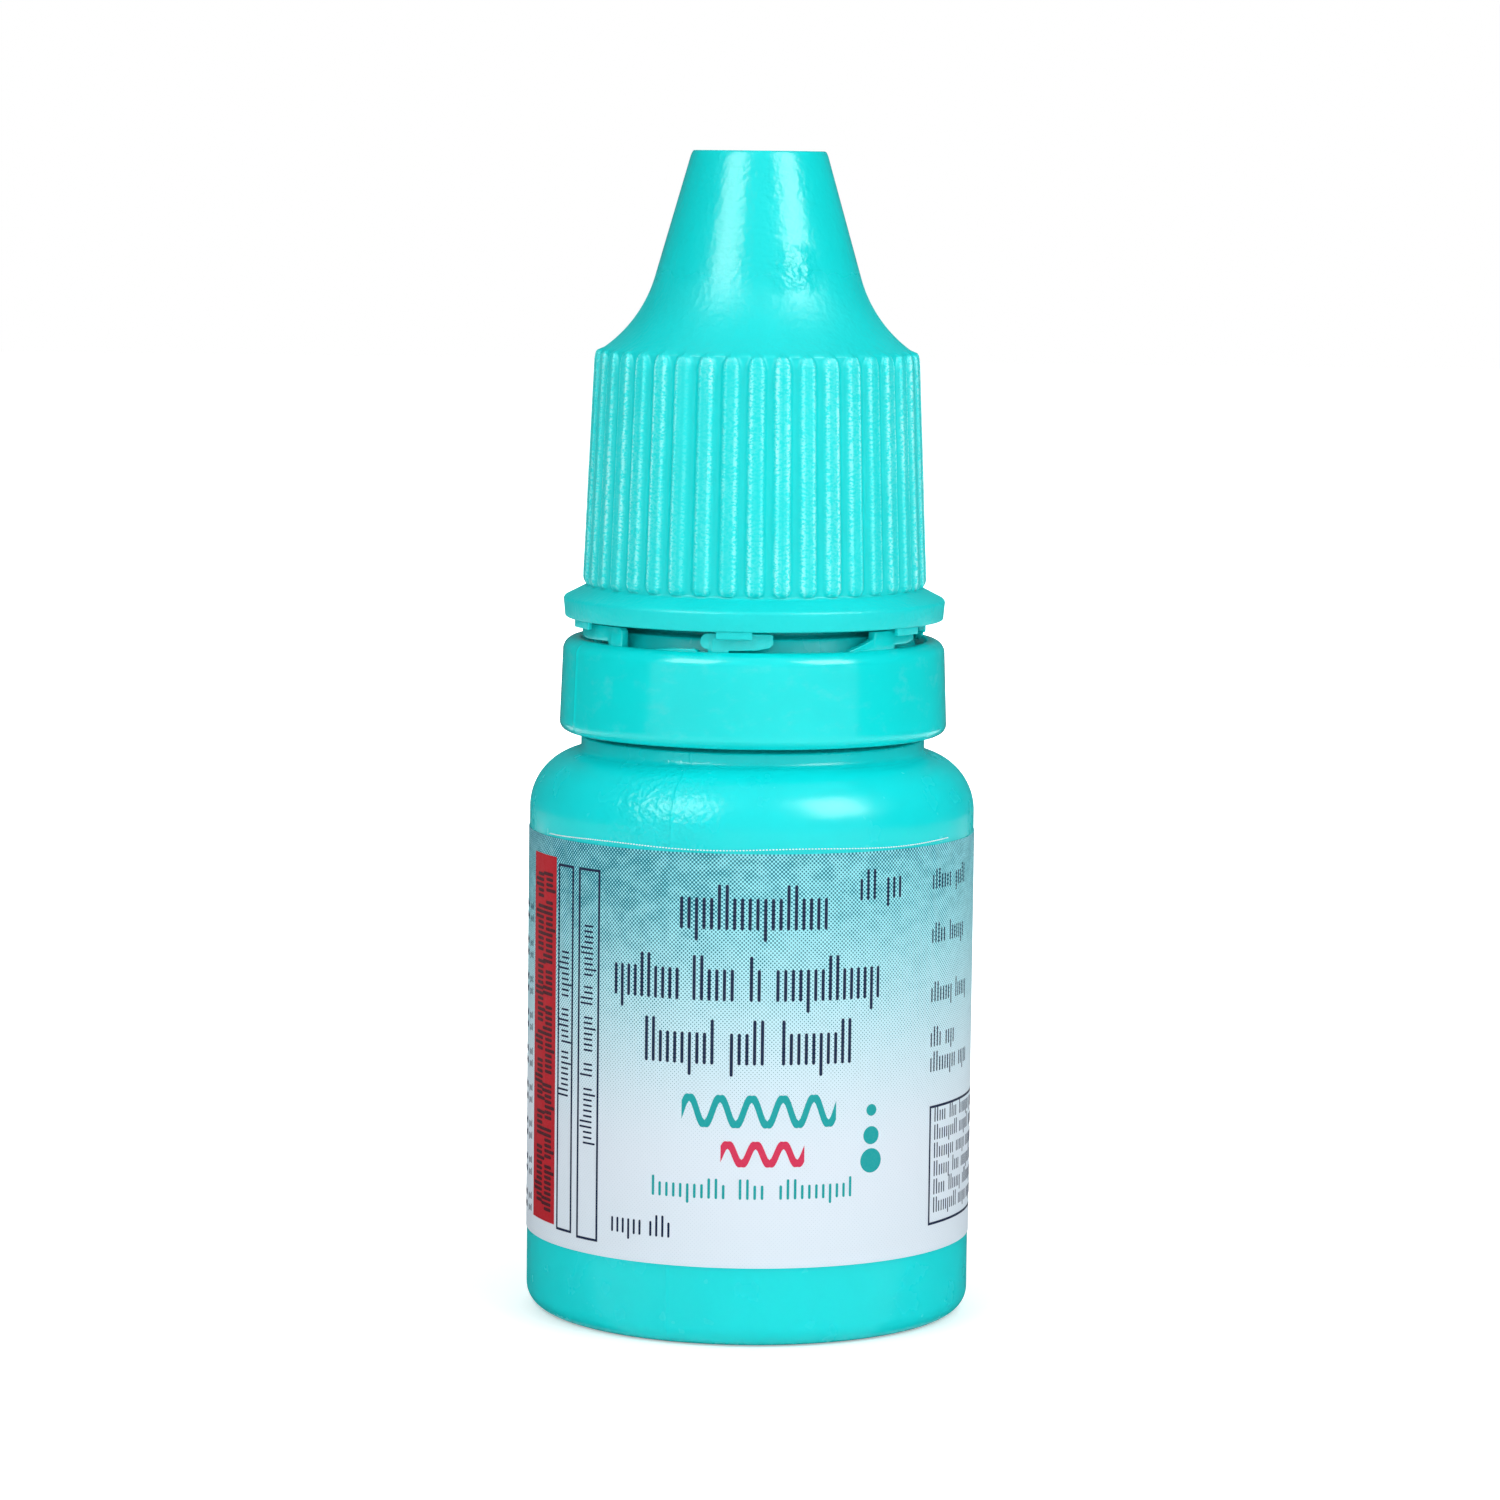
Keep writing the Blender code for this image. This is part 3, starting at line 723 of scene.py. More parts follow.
def strokes(left, bottom, words, size, pitch, share=STROKE_SHARE, upright=True):
    """Strokes in groups as long as words, in place of writing, some taller and some with a tail.

    The row runs along the label, or up it where the strokes aren't upright.
    """
    bars = []
    start = left if upright else bottom
    for word in words:
        for index in range(max(1, round(word / pitch))):
            at = start + index * pitch
            # A fixed pattern picks the tall strokes and the ones with a tail
            turn = (5 * index + round(10 * start)) % 9
            high = size * (TALL_STROKE if turn in (0, 4) else 1)
            drop = size * (STROKE_TAIL if turn == 7 else 0)
            if upright:
                bars.append(capsule(at, bottom - drop, pitch * share, high + drop, pitch))
            else:
                bars.append(capsule(left - high + size, at, high + drop, pitch * share, pitch))
        start += word + WORD_SPACE * pitch
    return bars


def wave(left, middle, length, period, rise, line):
    """The columns of a wavy line."""
    count = round(length / (period / WAVE_STEPS))
    columns = []
    for step in range(count + 1):
        along = length * step / count
        turn = FULL_TURN * along / period
        slope = FULL_TURN * rise / period * cos(turn)
        half = line / 2 * sqrt(1 + slope**2)
        level = middle + rise * sin(turn)
        columns.append((left + along, level - half, level + half))
    return columns


class EyeDropSizes(PropertyGroup):
    """Sizes that a maker would change."""

    heel_radius: FloatProperty(
        name="Heel radius", description="Rounding at the foot of the bottle", default=0.0012, unit="LENGTH"
    )
    parting_angle: FloatProperty(
        name="Parting angle",
        description="Where the mould's two halves met, counted from the front",
        default=radians(-20.5),
        unit="ROTATION",
    )
    parting_height: FloatProperty(
        name="Parting height",
        description="How far the parting line stands up",
        default=0.000035,
        unit="LENGTH",
    )
    film_thickness: FloatProperty(
        name="Film thickness", description="Thickness of the label", default=0.00004, unit="LENGTH"
    )
    dot_pitch: FloatProperty(
        name="Dot pitch", description="Distance between printed dots", default=0.000157, unit="LENGTH"
    )
    fade_height: FloatProperty(
        name="Fade height", description="Where the dots have faded out", default=0.0095, unit="LENGTH"
    )
    rib_count: IntProperty(name="Ribs", description="Ribs round the cap", default=40, min=8)
    rib_rise: FloatProperty(
        name="Rib rise", description="How far a rib stands out", default=0.0003, unit="LENGTH"
    )
    rib_share: FloatProperty(
        name="Rib share",
        description="Share of the pitch over which a rib rises",
        default=0.92,
        subtype="FACTOR",
    )
    erosion: FloatProperty(
        name="Erosion", description="Depth of the rough texture on the ribs", default=0.00003, unit="LENGTH"
    )


class EyeDropFinish(PropertyGroup):
    """Colours and gloss."""

    bottle_colour: FloatVectorProperty(
        name="Bottle", description="The squeeze bottle", subtype="COLOR", default=display(8, 222, 224)
    )
    bottle_roughness: FloatProperty(
        name="Bottle roughness", description="Gloss of the bottle", default=0.23, subtype="FACTOR"
    )
    # The cap and the ring are one plastic; the cap's darker colour is painted shade that offsets the extra
    # light on its upward-facing cone
    cap_shaded_colour: FloatVectorProperty(
        name="Cap", description="The ribbed cap", subtype="COLOR", default=display(8, 216, 216)
    )
    # Crest and fleck colours: partly real wear, partly painted sheen and glints on the ribs
    crest_wear_and_sheen_colour: FloatVectorProperty(
        name="Rib crests", description="Their worn crests", subtype="COLOR", default=display(56, 240, 240)
    )
    fleck_wear_and_glint_colour: FloatVectorProperty(
        name="Flecks", description="Flecks on the crests", subtype="COLOR", default=display(176, 253, 253)
    )
    ring_colour: FloatVectorProperty(
        name="Ring", description="The seal ring", subtype="COLOR", default=display(8, 222, 222)
    )
    cap_roughness: FloatProperty(
        name="Cap roughness", description="Gloss of the cap", default=0.2, subtype="FACTOR"
    )
    ring_roughness: FloatProperty(
        name="Ring roughness", description="Gloss of the seal ring", default=0.12, subtype="FACTOR"
    )
    nozzle_colour: FloatVectorProperty(
        name="Nozzle", description="The drip nozzle", subtype="COLOR", default=display(222, 236, 238)
    )
    label_colour: FloatVectorProperty(
        name="Label", description="Ground of the label", subtype="COLOR", default=display(219, 230, 240)
    )
    dot_colour: FloatVectorProperty(
        name="Dots", description="The printed dots", subtype="COLOR", default=display(2, 112, 130)
    )
    tint_colour: FloatVectorProperty(
        name="Tint", description="Ground at the top", subtype="COLOR", default=display(152, 229, 238)
    )
    dark_ink: FloatVectorProperty(
        name="Dark ink", description="Ink of the main rows", subtype="COLOR", default=display(16, 34, 66)
    )
    red_ink: FloatVectorProperty(
        name="Red ink", description="Ink of the stripe", subtype="COLOR", default=display(182, 14, 32)
    )
    brown_ink: FloatVectorProperty(
        name="Brown ink", description="Rows on the stripe", subtype="COLOR", default=display(70, 8, 24)
    )
    # The white dotted line is a painted highlight of the label film's top edge
    white_ink: FloatVectorProperty(
        name="White ink", description="The dotted line", subtype="COLOR", default=display(240, 247, 250)
    )
    rose_ink: FloatVectorProperty(
        name="Rose ink", description="The shorter wave", subtype="COLOR", default=display(208, 48, 84)
    )
    teal_ink: FloatVectorProperty(
        name="Teal ink", description="Long wave, lower row", subtype="COLOR", default=display(20, 158, 160)
    )


class EyeDropStage(PropertyGroup):
    """Camera and light."""

    lens: FloatProperty(name="Lens", description="Focal length", default=128.2, unit="CAMERA")
    distance: FloatProperty(name="Distance", description="Camera to its aim", default=0.3007, unit="LENGTH")
    elevation: FloatProperty(
        name="Elevation", description="Camera above the horizon", default=radians(6.2), unit="ROTATION"
    )
    target_height: FloatProperty(
        name="Aim height", description="Height aimed at", default=0.03157, unit="LENGTH"
    )
    target_side: FloatProperty(
        name="Aim side", description="Side offset of the aim", default=-0.000148, unit="LENGTH"
    )
    roll: FloatProperty(name="Roll", description="Camera tilt", default=radians(0.674), unit="ROTATION")
    left_power: FloatProperty(name="Left power", description="The left lamp", default=0.44, unit="POWER")
    right_power: FloatProperty(name="Right power", description="The right lamp", default=0.52, unit="POWER")
    left_sheen: FloatProperty(
        name="Left sheen", description="The left screen, seen by gloss only", default=0.82, unit="POWER"
    )
    right_sheen: FloatProperty(
        name="Right sheen", description="The right screen, seen by gloss only", default=1.02, unit="POWER"
    )
    fill_power: FloatProperty(name="Fill power", description="The front lamp", default=1.25, unit="POWER")
    back_power: FloatProperty(name="Back power", description="The lamp behind", default=2.3, unit="POWER")
    mirrored_room: FloatProperty(name="Mirrored room", description="Brightness in gloss", default=1.0)
    room_light: FloatProperty(name="Room light", description="Brightness of the room", default=0.33)


def rib_handling(angles, sizes):
    """How much each side of each rib has been handled. No two ribs are the same."""
    rib = np.round(angles * sizes.rib_count / FULL_TURN)
    side = np.sign(angles * sizes.rib_count / FULL_TURN - rib)
    along, across, layer = HANDLING_STEPS
    spots = [Vector((along * number, across * half, layer)) for number, half in zip(rib, side)]
    spread = [HANDLING_MEAN + HANDLING_SPREAD * noise.noise(spot) for spot in spots]
    sides = HANDLING_FRONT + HANDLING_SIDES * np.sin(angles) ** 2
    return np.clip(spread * sides, HANDLING_LEAST, 1)


def rib_wear_and_sheen(phase):
    """How worn a rib is across its width: most at the two edges of its crest. The cap's colour uses it for
    lighter crests that are partly painted sheen.
    """
    edge = np.exp(-(((phase - RIB_EDGE) / RIB_EDGE_WIDTH) ** 2))
    return np.clip(edge + CREST_WEAR * (phase < RIB_EDGE), 0, 1)


def rib_section(phase, share):
    """The height of a rib across its width, from 1 down to 0."""
    flank = 1 - smooth_step((phase - RIB_FLAT) / (share - RIB_FLAT))
    return flank * (1 - RIB_CROWNING * np.minimum(phase / share, 1) ** 2)


def mould_cap(sizes):
    """The ribbed cap with its flange outside and its thread, seat and pin inside."""
    slope = atan((WAIST_RADIUS - CROWN_RADIUS) / (CAP_HIGH.z - WAIST_LEVEL))
    root_top = SKIRT_TOP_RADIUS - sizes.rib_rise
    root_bottom = SKIRT_BOTTOM_RADIUS - sizes.rib_rise
    out = root_top - WAIST_RADIUS
    end = 2 * atan2(out, WAIST_LEVEL - SKIRT_TOP) - slope
    flare = out / (cos(slope) - cos(end))
    centre = (WAIST_RADIUS + flare * cos(slope), WAIST_LEVEL + flare * sin(slope))
    top = CAP_HIGH.z
    bottom = CAP_LOW.z + TAB_HEIGHT
    outline = run((0, top), (CROWN_RADIUS - CROWN_ROUND, top), 3)
    outline += arc((CROWN_RADIUS - CROWN_ROUND, top - CROWN_ROUND), CROWN_ROUND, pi / 2, slope, 4)
    cone_top = (CROWN_RADIUS + 2 * CROWN_ROUND * sin(slope), top - 2 * CROWN_ROUND)
    outline += run(cone_top, (WAIST_RADIUS, WAIST_LEVEL), 10)
    outline += arc(centre, flare, pi + slope, pi + end, 18)[:-1]
    ribs_first = len(outline)
    draft = (root_bottom - root_top) / (SKIRT_TOP - SKIRT_BOTTOM)
    dome_end = (root_top + draft * RIB_DOME, SKIRT_TOP - RIB_DOME)
    foot_start = (root_bottom - draft * RIB_FOOT, SKIRT_BOTTOM + RIB_FOOT)
    outline += run((root_top, SKIRT_TOP), dome_end, 10)
    outline += run(dome_end, foot_start, 44) + run(foot_start, (root_bottom, SKIRT_BOTTOM), 6)
    ribs_last = len(outline)
    edge = (FLANGE_RADIUS - FLANGE_ROUND, FLANGE_EDGE_LEVEL - FLANGE_ROUND)
    tilt = atan2(SKIRT_BOTTOM - FLANGE_EDGE_LEVEL, edge[0] - root_bottom)
    lead = (edge[0] + FLANGE_ROUND * sin(tilt), edge[1] + FLANGE_ROUND * cos(tilt))
    outline += run((root_bottom, SKIRT_BOTTOM), lead, 5)
    outline += arc(edge, FLANGE_ROUND, pi / 2 - tilt, 0, 8)
    foot = (FLANGE_RADIUS - FLANGE_DRAFT - FLANGE_FOOT_ROUND, bottom + FLANGE_FOOT_ROUND)
    outline += arc(foot, FLANGE_FOOT_ROUND, 0, -pi / 2, 4)
    outline += [(CAP_BORE_RADIUS + FLANGE_FOOT_ROUND, bottom)]
    thread_first = len(outline)
    outline += run((CAP_BORE_RADIUS, bottom + FLANGE_FOOT_ROUND), (CAP_BORE_RADIUS, CAP_LAND_LEVEL), 30)
    thread_last = len(outline)
    outline += [(CAP_BORE_RADIUS, CAP_LAND_LEVEL), (CAP_LAND_RADIUS, CAP_LAND_LEVEL)]
    outline += [(UPPER_BORE_RADIUS, UPPER_BORE_LEVEL), (INNER_WAIST_RADIUS, WAIST_LEVEL)]
    outline += [(INNER_CROWN_RADIUS, INNER_CROWN_LEVEL), (PIN_RADIUS, INNER_CROWN_LEVEL)]
    outline += arc((PIN_RADIUS - PIN_ROUND, PIN_BOTTOM + PIN_ROUND), PIN_ROUND, 0, -pi / 2, 4)
    outline += [(0, PIN_BOTTOM)]

    pitch = FULL_TURN / sizes.rib_count
    angles = np.arange(sizes.rib_count * RIB_COLUMNS) * pitch / RIB_COLUMNS - pi
    phase = np.abs((angles / pitch + 0.5) % 1 - 0.5) * 2
    relief = np.zeros((len(outline), len(angles)))
    wear = np.zeros_like(relief)
    handled = rib_handling(angles, sizes)
    for row in range(ribs_first, ribs_last + 1):
        level = outline[row][1]
        below = np.clip((SKIRT_TOP - level) / RIB_DOME, 0, 1)
        above = np.clip((level - SKIRT_BOTTOM) / RIB_FOOT, 0, 1)
        dome = sqrt(1 - (1 - below) ** 2)
        foot = sqrt(1 - (1 - above) ** 2)
        across = phase / (RIB_TIP + (1 - RIB_TIP) * min(dome, foot))
        rise = sizes.rib_rise * (RIB_TIP_RISE + (1 - RIB_TIP_RISE) * dome)
        relief[row] = rise * rib_section(across, sizes.rib_share) * foot
        wear[row] = rib_wear_and_sheen(across) * handled * smooth_step(dome * RIB_TIP_WEAR) * foot
    for row in range(ribs_first, ribs_last):
        root, level = outline[row]
        for column, angle in enumerate(angles):
            if wear[row, column] > LEAST_WEAR:
                spot = Vector((root * sin(angle), root * cos(angle), level * EROSION_STRETCH))
                relief[row, column] += sizes.erosion * wear[row, column] * noise.noise(spot / EROSION_GRAIN)
    threaded = slice(thread_first, thread_last)
    relief[threaded] = -thread_relief(outline[threaded], angles, CAP_THREAD_HEIGHT, pi)
    return turned("ribbed_cap", outline, angles, relief, wear=wear)


def mould_ring():
    """The seal ring with its rounded rim, its inner ledge and a fine witness line down its outside."""
    foot = RING_WALL_RADIUS + RING_SPREAD
    bottom = RING_LOW.z
    outline = [(RING_BORE_RADIUS, RING_TOP - RING_INNER_ROUND)]
    outline += [(RING_BORE_RADIUS + RING_INNER_ROUND, RING_TOP)]
    witness_first = len(outline) + RING_RIM_STEPS // 2
    rim = (RING_WALL_RADIUS - RING_RIM_ROUND, RING_TOP - RING_RIM_ROUND)
    outline += arc(rim, RING_RIM_ROUND, pi / 2, 0, RING_RIM_STEPS)
    wall_top = (RING_WALL_RADIUS, RING_TOP - RING_WALL_START * RING_RIM_ROUND)
    outline += run(wall_top, (foot, bottom + RING_FOOT_ROUND), 14)
    witness_last = len(outline)
    outline += arc((foot - RING_FOOT_ROUND, bottom + RING_FOOT_ROUND), RING_FOOT_ROUND, 0, -pi / 2, 5)
    outline += [
        (RING_LEDGE_RADIUS + RING_LEDGE_SLOPE, bottom),
        (RING_LEDGE_RADIUS, bottom + RING_LEDGE_SLOPE),
        (RING_LEDGE_RADIUS, RING_LEDGE_TOP),
        (RING_BORE_RADIUS, RING_LEDGE_TOP),
    ]
    beside = np.array([-1.0, -0.5, 0, 0.5, 1.0]) * PARTING_WIDTH / foot
    angles = np.unique(np.concatenate([even_angles(RING_COLUMNS), WITNESS_ANGLE + beside]))
    gap = angle_gap(angles, WITNESS_ANGLE) * foot
    relief = np.zeros((len(outline), len(angles)))
    relief[witness_first : witness_last + 1] = WITNESS_HEIGHT * smooth_step(1 - gap / PARTING_WIDTH)
    return turned("seal_ring", outline, angles, relief, closed=True)


def mould_nozzle():
    """The drip nozzle: flange, stem, tip with its well, and the plug below."""
    top = NOZZLE_HIGH.z
    well = top - WELL_DEPTH
    outline = [(ORIFICE_RADIUS, well), (WELL_RADIUS - NOZZLE_ROUND, well), (WELL_RADIUS, well + NOZZLE_ROUND)]
    outline += [(WELL_RADIUS, top - NOZZLE_ROUND), (WELL_RADIUS + NOZZLE_ROUND, top)]
    outline += arc((TIP_RADIUS - TIP_ROUND, top - TIP_ROUND), TIP_ROUND, pi / 2, 0, 8)
    fillet = (STEM_RADIUS + STEM_FILLET, NOZZLE_FLANGE_TOP + STEM_FILLET)
    outline += run((TIP_RADIUS, top - TIP_LENGTH), (STEM_RADIUS, fillet[1]), 16)
    outline += arc(fillet, STEM_FILLET, pi, 3 * pi / 2, 6)
    edge = NOZZLE_FLANGE_RADIUS - NOZZLE_ROUND
    outline += arc((edge, NOZZLE_FLANGE_TOP - NOZZLE_ROUND), NOZZLE_ROUND, pi / 2, 0, 3)
    outline += arc((edge, NOZZLE_FLANGE_BOTTOM + NOZZLE_ROUND), NOZZLE_ROUND, 0, -pi / 2, 3)
    outline += [(PLUG_RADIUS, NOZZLE_FLANGE_BOTTOM)]
    for level in PLUG_BEAD_LEVELS:
        outline += [
            (PLUG_RADIUS, level + PLUG_BEAD_HEIGHT / 2),
            (PLUG_BEAD_RADIUS, level + PLUG_BEAD_HEIGHT / 8),
            (PLUG_BEAD_RADIUS, level - PLUG_BEAD_HEIGHT / 8),
            (PLUG_RADIUS, level - PLUG_BEAD_HEIGHT / 2),
        ]
    bottom = NOZZLE_LOW.z
    outline += [
        (PLUG_RADIUS - PLUG_LEAD, bottom),
        (PLUG_RADIUS - PLUG_WALL, bottom),
        (PLUG_RADIUS - PLUG_WALL, NOZZLE_FLANGE_BOTTOM),
        (STEM_RADIUS - STEM_WALL, fillet[1]),
        (ORIFICE_RADIUS, well - ORIFICE_LENGTH),
    ]
    return turned("drip_nozzle", outline, even_angles(NOZZLE_COLUMNS), closed=True)


def in_metres(rows):
    """Rows of measures in millimetres, turned into metres."""
    return [[value * MILLIMETRE for value in row] for row in rows]


def bridge_angle(index):
    """Where a broken bridge stands, from -pi to pi."""
    return (EAR_ANGLE + FULL_TURN * index / EAR_COUNT + pi) % FULL_TURN - pi


def ear_columns(middle, points):
    """Columns of an ear, from points (side, low, high) that count from its bridge and the ring's top."""
    dense = []
    for start, end in zip(points, points[1:]):
        dense += run(start, end, max(1, round((end[0] - start[0]) / EAR_STEP)))
    dense.append(points[-1])
    base = middle * EAR_OUTER_RADIUS
    return [(base + side, RING_TOP + low, RING_TOP + high) for side, low, high in dense]


# Outlines of the ears: side, low and high, in millimetres from the middle of the bridge and the ring's top.
# The three at the front are each torn in their own way, and the swelling is a low ridge beside the hooked one
PLAIN_EAR = [
    (-1.9, 0.3, 0.7), (-1.75, 0.18, 0.9), (-1.42, 0.14, 0.96), (-1.4, -0.2, 0.96), (-0.4, -0.2, 0.96),
    (-0.38, 0.14, 0.96), (1.75, 0.16, 0.94), (1.9, 0.26, 0.86),
]
HOOKED_EAR = [
    (-1.94, 0.45, 0.62), (-1.85, 0.3, 0.85), (-1.7, 0.18, 0.98), (-1.5, 0.14, 1.02), (-1.46, -0.2, 1.02),
    (-0.35, -0.2, 1.02), (-0.33, 0.08, 1.02), (1.2, 0.12, 1.02), (1.9, 0.26, 1.02), (2.1, 0.45, 0.95),
]
LEFT_EAR = [
    (-1.2, 0.35, 0.7), (-0.9, 0.2, 0.95), (0.0, 0.15, 1.0), (2.2, 0.2, 1.02), (2.25, -0.2, 1.02),
    (3.2, -0.2, 1.02), (3.4, -0.2, 0.85),
]
RAMPED_EAR = [
    (-3.9, -0.2, 0.03), (-3.0, -0.2, 0.32), (-2.25, -0.2, 0.62), (-2.2, -0.2, 1.0), (-0.6, -0.2, 1.02),
    (-0.55, 0.22, 1.02), (0.5, 0.2, 1.0), (1.0, 0.3, 0.8), (1.4, 0.42, 0.6),
]
RIM_SWELLING = [
    (-4.7, -0.2, 0.0), (-4.2, -0.2, 0.07), (-3.5, -0.2, 0.12), (-2.3, -0.2, 0.14), (-2.1, -0.2, 0.05),
]


def mould_ears():
    """The broken bridges that the ring keeps, each torn a little differently."""
    shapes = {0: HOOKED_EAR, 1: RAMPED_EAR, EAR_COUNT - 1: LEFT_EAR}
    torn = [(index, shapes.get(index, PLAIN_EAR)) for index in range(EAR_COUNT)] + [(0, RIM_SWELLING)]
    strips = [ear_columns(bridge_angle(index), in_metres(shape)) for index, shape in torn]
    ears = wrapped("bridge_ears", strips, EAR_INNER_RADIUS, EAR_OUTER_RADIUS)
    soften(ears, EAR_ROUND)
    return ears


def mould_tabs():
    """The torn tabs under the cap. They reach up into its flange."""
    top = CAP_LOW.z + TAB_HEIGHT + TAB_SINK
    strips = []
    for index in range(EAR_COUNT):
        left = bridge_angle(index) * TAB_OUTER_RADIUS - TAB_WIDTH / 2
        arcs = [left + TAB_WIDTH * step / TAB_STEPS for step in range(TAB_STEPS + 1)]
        strips.append([(along, CAP_LOW.z, top) for along in arcs])
    tabs = wrapped("bridge_tabs", strips, TAB_INNER_RADIUS, TAB_OUTER_RADIUS)
    soften(tabs, TAB_ROUND)
    return tabs


def print_layout():
    """Every printed stroke and line, by ink, and the white dotted line above the label, which is a painted
    highlight of the film's top edge.

    They are laid out in millimetres: arcs count from the front, heights from the foot.
    """
    name_rows = ((-3.9, 23.1, [8.3]), (-7.9, 19.2, [4.2, 2.6, 0.9, 6.3]), (-5.9, 15.7, [4.3, 2.3, 4.0]))
    dark = []
    for left, bottom, words in name_rows:
        dark += strokes(left, bottom, words, NAME_SIZE, NAME_PITCH, NAME_SHARE)
    dark += strokes(6.2, 24.6, [1.2, 1.4], 1.2, 0.42)
    dark += strokes(-8.0, 6.0, [2.0, 1.4], 0.85, 0.36)
    side_rows = {24.8: [2.2, 1.6], 21.8: [1.5, 2.0], 18.5: [2.4, 1.7], 16.0: [1.2, 1.3], 14.6: [3.0, 1.6]}
    for bottom, words in side_rows.items():
        dark += strokes(11.6, bottom, words, 0.8, 0.3)
    for frame_box in ((-12.65, 5.4, 1.5, 20.5), (-10.7, 5.25, 1.7, 20.65), (11.6, 6.0, 10.2, 6.7)):
        dark += frame_bars(*frame_box)
    dark += strokes(-12.25, 13.0, [2.6, 2.2, 2.8], 0.7, 0.3, upright=False)
    dark += strokes(-10.2, 10.6, [3.4, 1.0, 2.2, 1.2, 2.9], 0.7, 0.3, upright=False)
    for line in range(6):
        words = [1.4 + 0.5 * ((line * 3) % 4), 1.1 + 0.4 * ((line * 5) % 3), 2.1, 1.1]
        dark += strokes(12.1, 11.75 - 1.02 * line, words, 0.62, 0.27)
    for pair in range(9):
        for offset in (0, 0.68):
            words = [1.5 + 0.7 * ((pair * 5 + 3) % 4), 2.2, 1.0 + 0.6 * ((pair * 3) % 3)]
            dark += strokes(-16.1 - sum(words) - 0.8, 5.7 + 2.05 * pair + offset, words, 0.3, 0.24)
    red = [capsule(-16.0, 5.6, 3.1, 20.6, 0)]
    stripe_rows = (
        (-15.4, 6.6, [3.4, 1.6, 2.4, 1.2, 3.6, 2.6, 1.6]),
        (-14.2, 6.2, [2.6, 1.8, 2.2, 4.0, 1.4, 3.6, 1.2]),
    )
    brown = []
    for left, bottom, words in stripe_rows:
        brown += strokes(left, bottom, words, STRIPE_SIZE, STRIPE_PITCH, STRIPE_SHARE, upright=False)
    rose = [wave(-1.5, 10.8, 4.6, 1.53, 0.5, 0.4)]
    teal = [wave(-3.7, 13.15, 8.6, 1.72, 0.7, 0.38)]
    teal += strokes(-5.4, 8.3, [4.4, 1.7, 4.3], 0.8, 0.4)
    for index in range(3):
        size = 1.35 - 0.35 * index
        teal.append(capsule(7.1 - size / 2, 10.2 + 1.4 * index - size / 2, size, size, size / 2, 8))
    # The white dotted line just above the label is a painted highlight: the glint of the film's top edge,
    # laid on the bottle
    white = []
    top = LABEL_HIGH.z / MILLIMETRE
    for index in range(GLINT_DOT_COUNT):
        along = -13.8 + GLINT_DOT_PITCH * index
        level = top + 0.2 + 0.06 * sin(along * 0.55)
        white.append(capsule(along, level, 0.1, 0.05, 0.03))
    sheets = {"dark": dark, "red": red, "brown": brown, "rose": rose, "teal": teal, "white": white}
    return {name: [in_metres(bar) for bar in bars] for name, bars in sheets.items()}


class EYEDROPS_OT_bottle(Operator):
    """Moulds the squeeze bottle"""

    bl_idname = "eyedrops.bottle"
    bl_label = "Squeeze bottle"

    def execute(self, context):
        piece = mould_bottle(context.scene.eye_drop_sizes)
        material = squeeze_plastic(context.scene.eye_drop_finish)
        finish_piece(piece, material, "bottle", "squeeze_plastic", "bottle")
        return {"FINISHED"}


class EYEDROPS_OT_label(Operator):
    """Wraps the printed label round the bottle"""

    bl_idname = "eyedrops.label"
    bl_label = "Label"

    def execute(self, context):
        sizes = context.scene.eye_drop_sizes
        finish = context.scene.eye_drop_finish
        inner = LABEL_HIGH.x + FILM_GAP
        outer = inner + sizes.film_thickness
        half = pi * outer
        length = FULL_TURN * outer + FILM_OVERLAP
        arcs = [-half + length * step / FILM_COLUMNS for step in range(FILM_COLUMNS + 1)]
        strip = [(along, LABEL_LOW.z, LABEL_HIGH.z) for along in arcs]

        def over_the_seam(along):
            """How far the film's end climbs onto its beginning."""
            climbed = float(smooth_step((along - half + OVERLAP_START) / OVERLAP_RAMP))
            return sizes.film_thickness * OVERLAP_LIFT * climbed

        film = wrapped("label_wrap", [strip], inner, outer, over_the_seam)
        film.data.set_sharp_from_angle(angle=SHARP_ANGLE)
        finish_piece(film, label_film(finish, sizes), "bottle", "label_film", "label")
        for name, strips in print_layout().items():
            colour = tuple(getattr(finish, name + "_ink"))
            lifted = INK_THICKNESS * (2 if name == "brown" else 1)
            # The white dotted line sinks through the film onto the bottle: a painted highlight of the film's
            # top edge
            sunk = sizes.film_thickness + EDGE_GLINT_SINK if name == "white" else INK_SINK
            piece = wrapped("print_" + name, strips, outer - sunk, outer + lifted)
            piece.data.set_sharp_from_angle(angle=SHARP_ANGLE)
            finish_piece(piece, ink("ink_" + name, colour), "bottle", "label_film")
        return {"FINISHED"}


class EYEDROPS_OT_nozzle(Operator):
    """Moulds the drip nozzle"""

    bl_idname = "eyedrops.nozzle"
    bl_label = "Drip nozzle"

    def execute(self, context):
        material = nozzle_plastic(context.scene.eye_drop_finish)
        finish_piece(mould_nozzle(), material, "bottle", "nozzle_plastic", "dropper_nozzle")
        return {"FINISHED"}


class EYEDROPS_OT_ring(Operator):
    """Moulds the seal ring and the ears of its broken bridges"""

    bl_idname = "eyedrops.ring"
    bl_label = "Seal ring"

    def execute(self, context):
        material = ring_plastic(context.scene.eye_drop_finish)
        finish_piece(mould_ring(), material, "ring", "cap_plastic", "tamper_ring")
        finish_piece(mould_ears(), material, "ring", "cap_plastic")
        return {"FINISHED"}


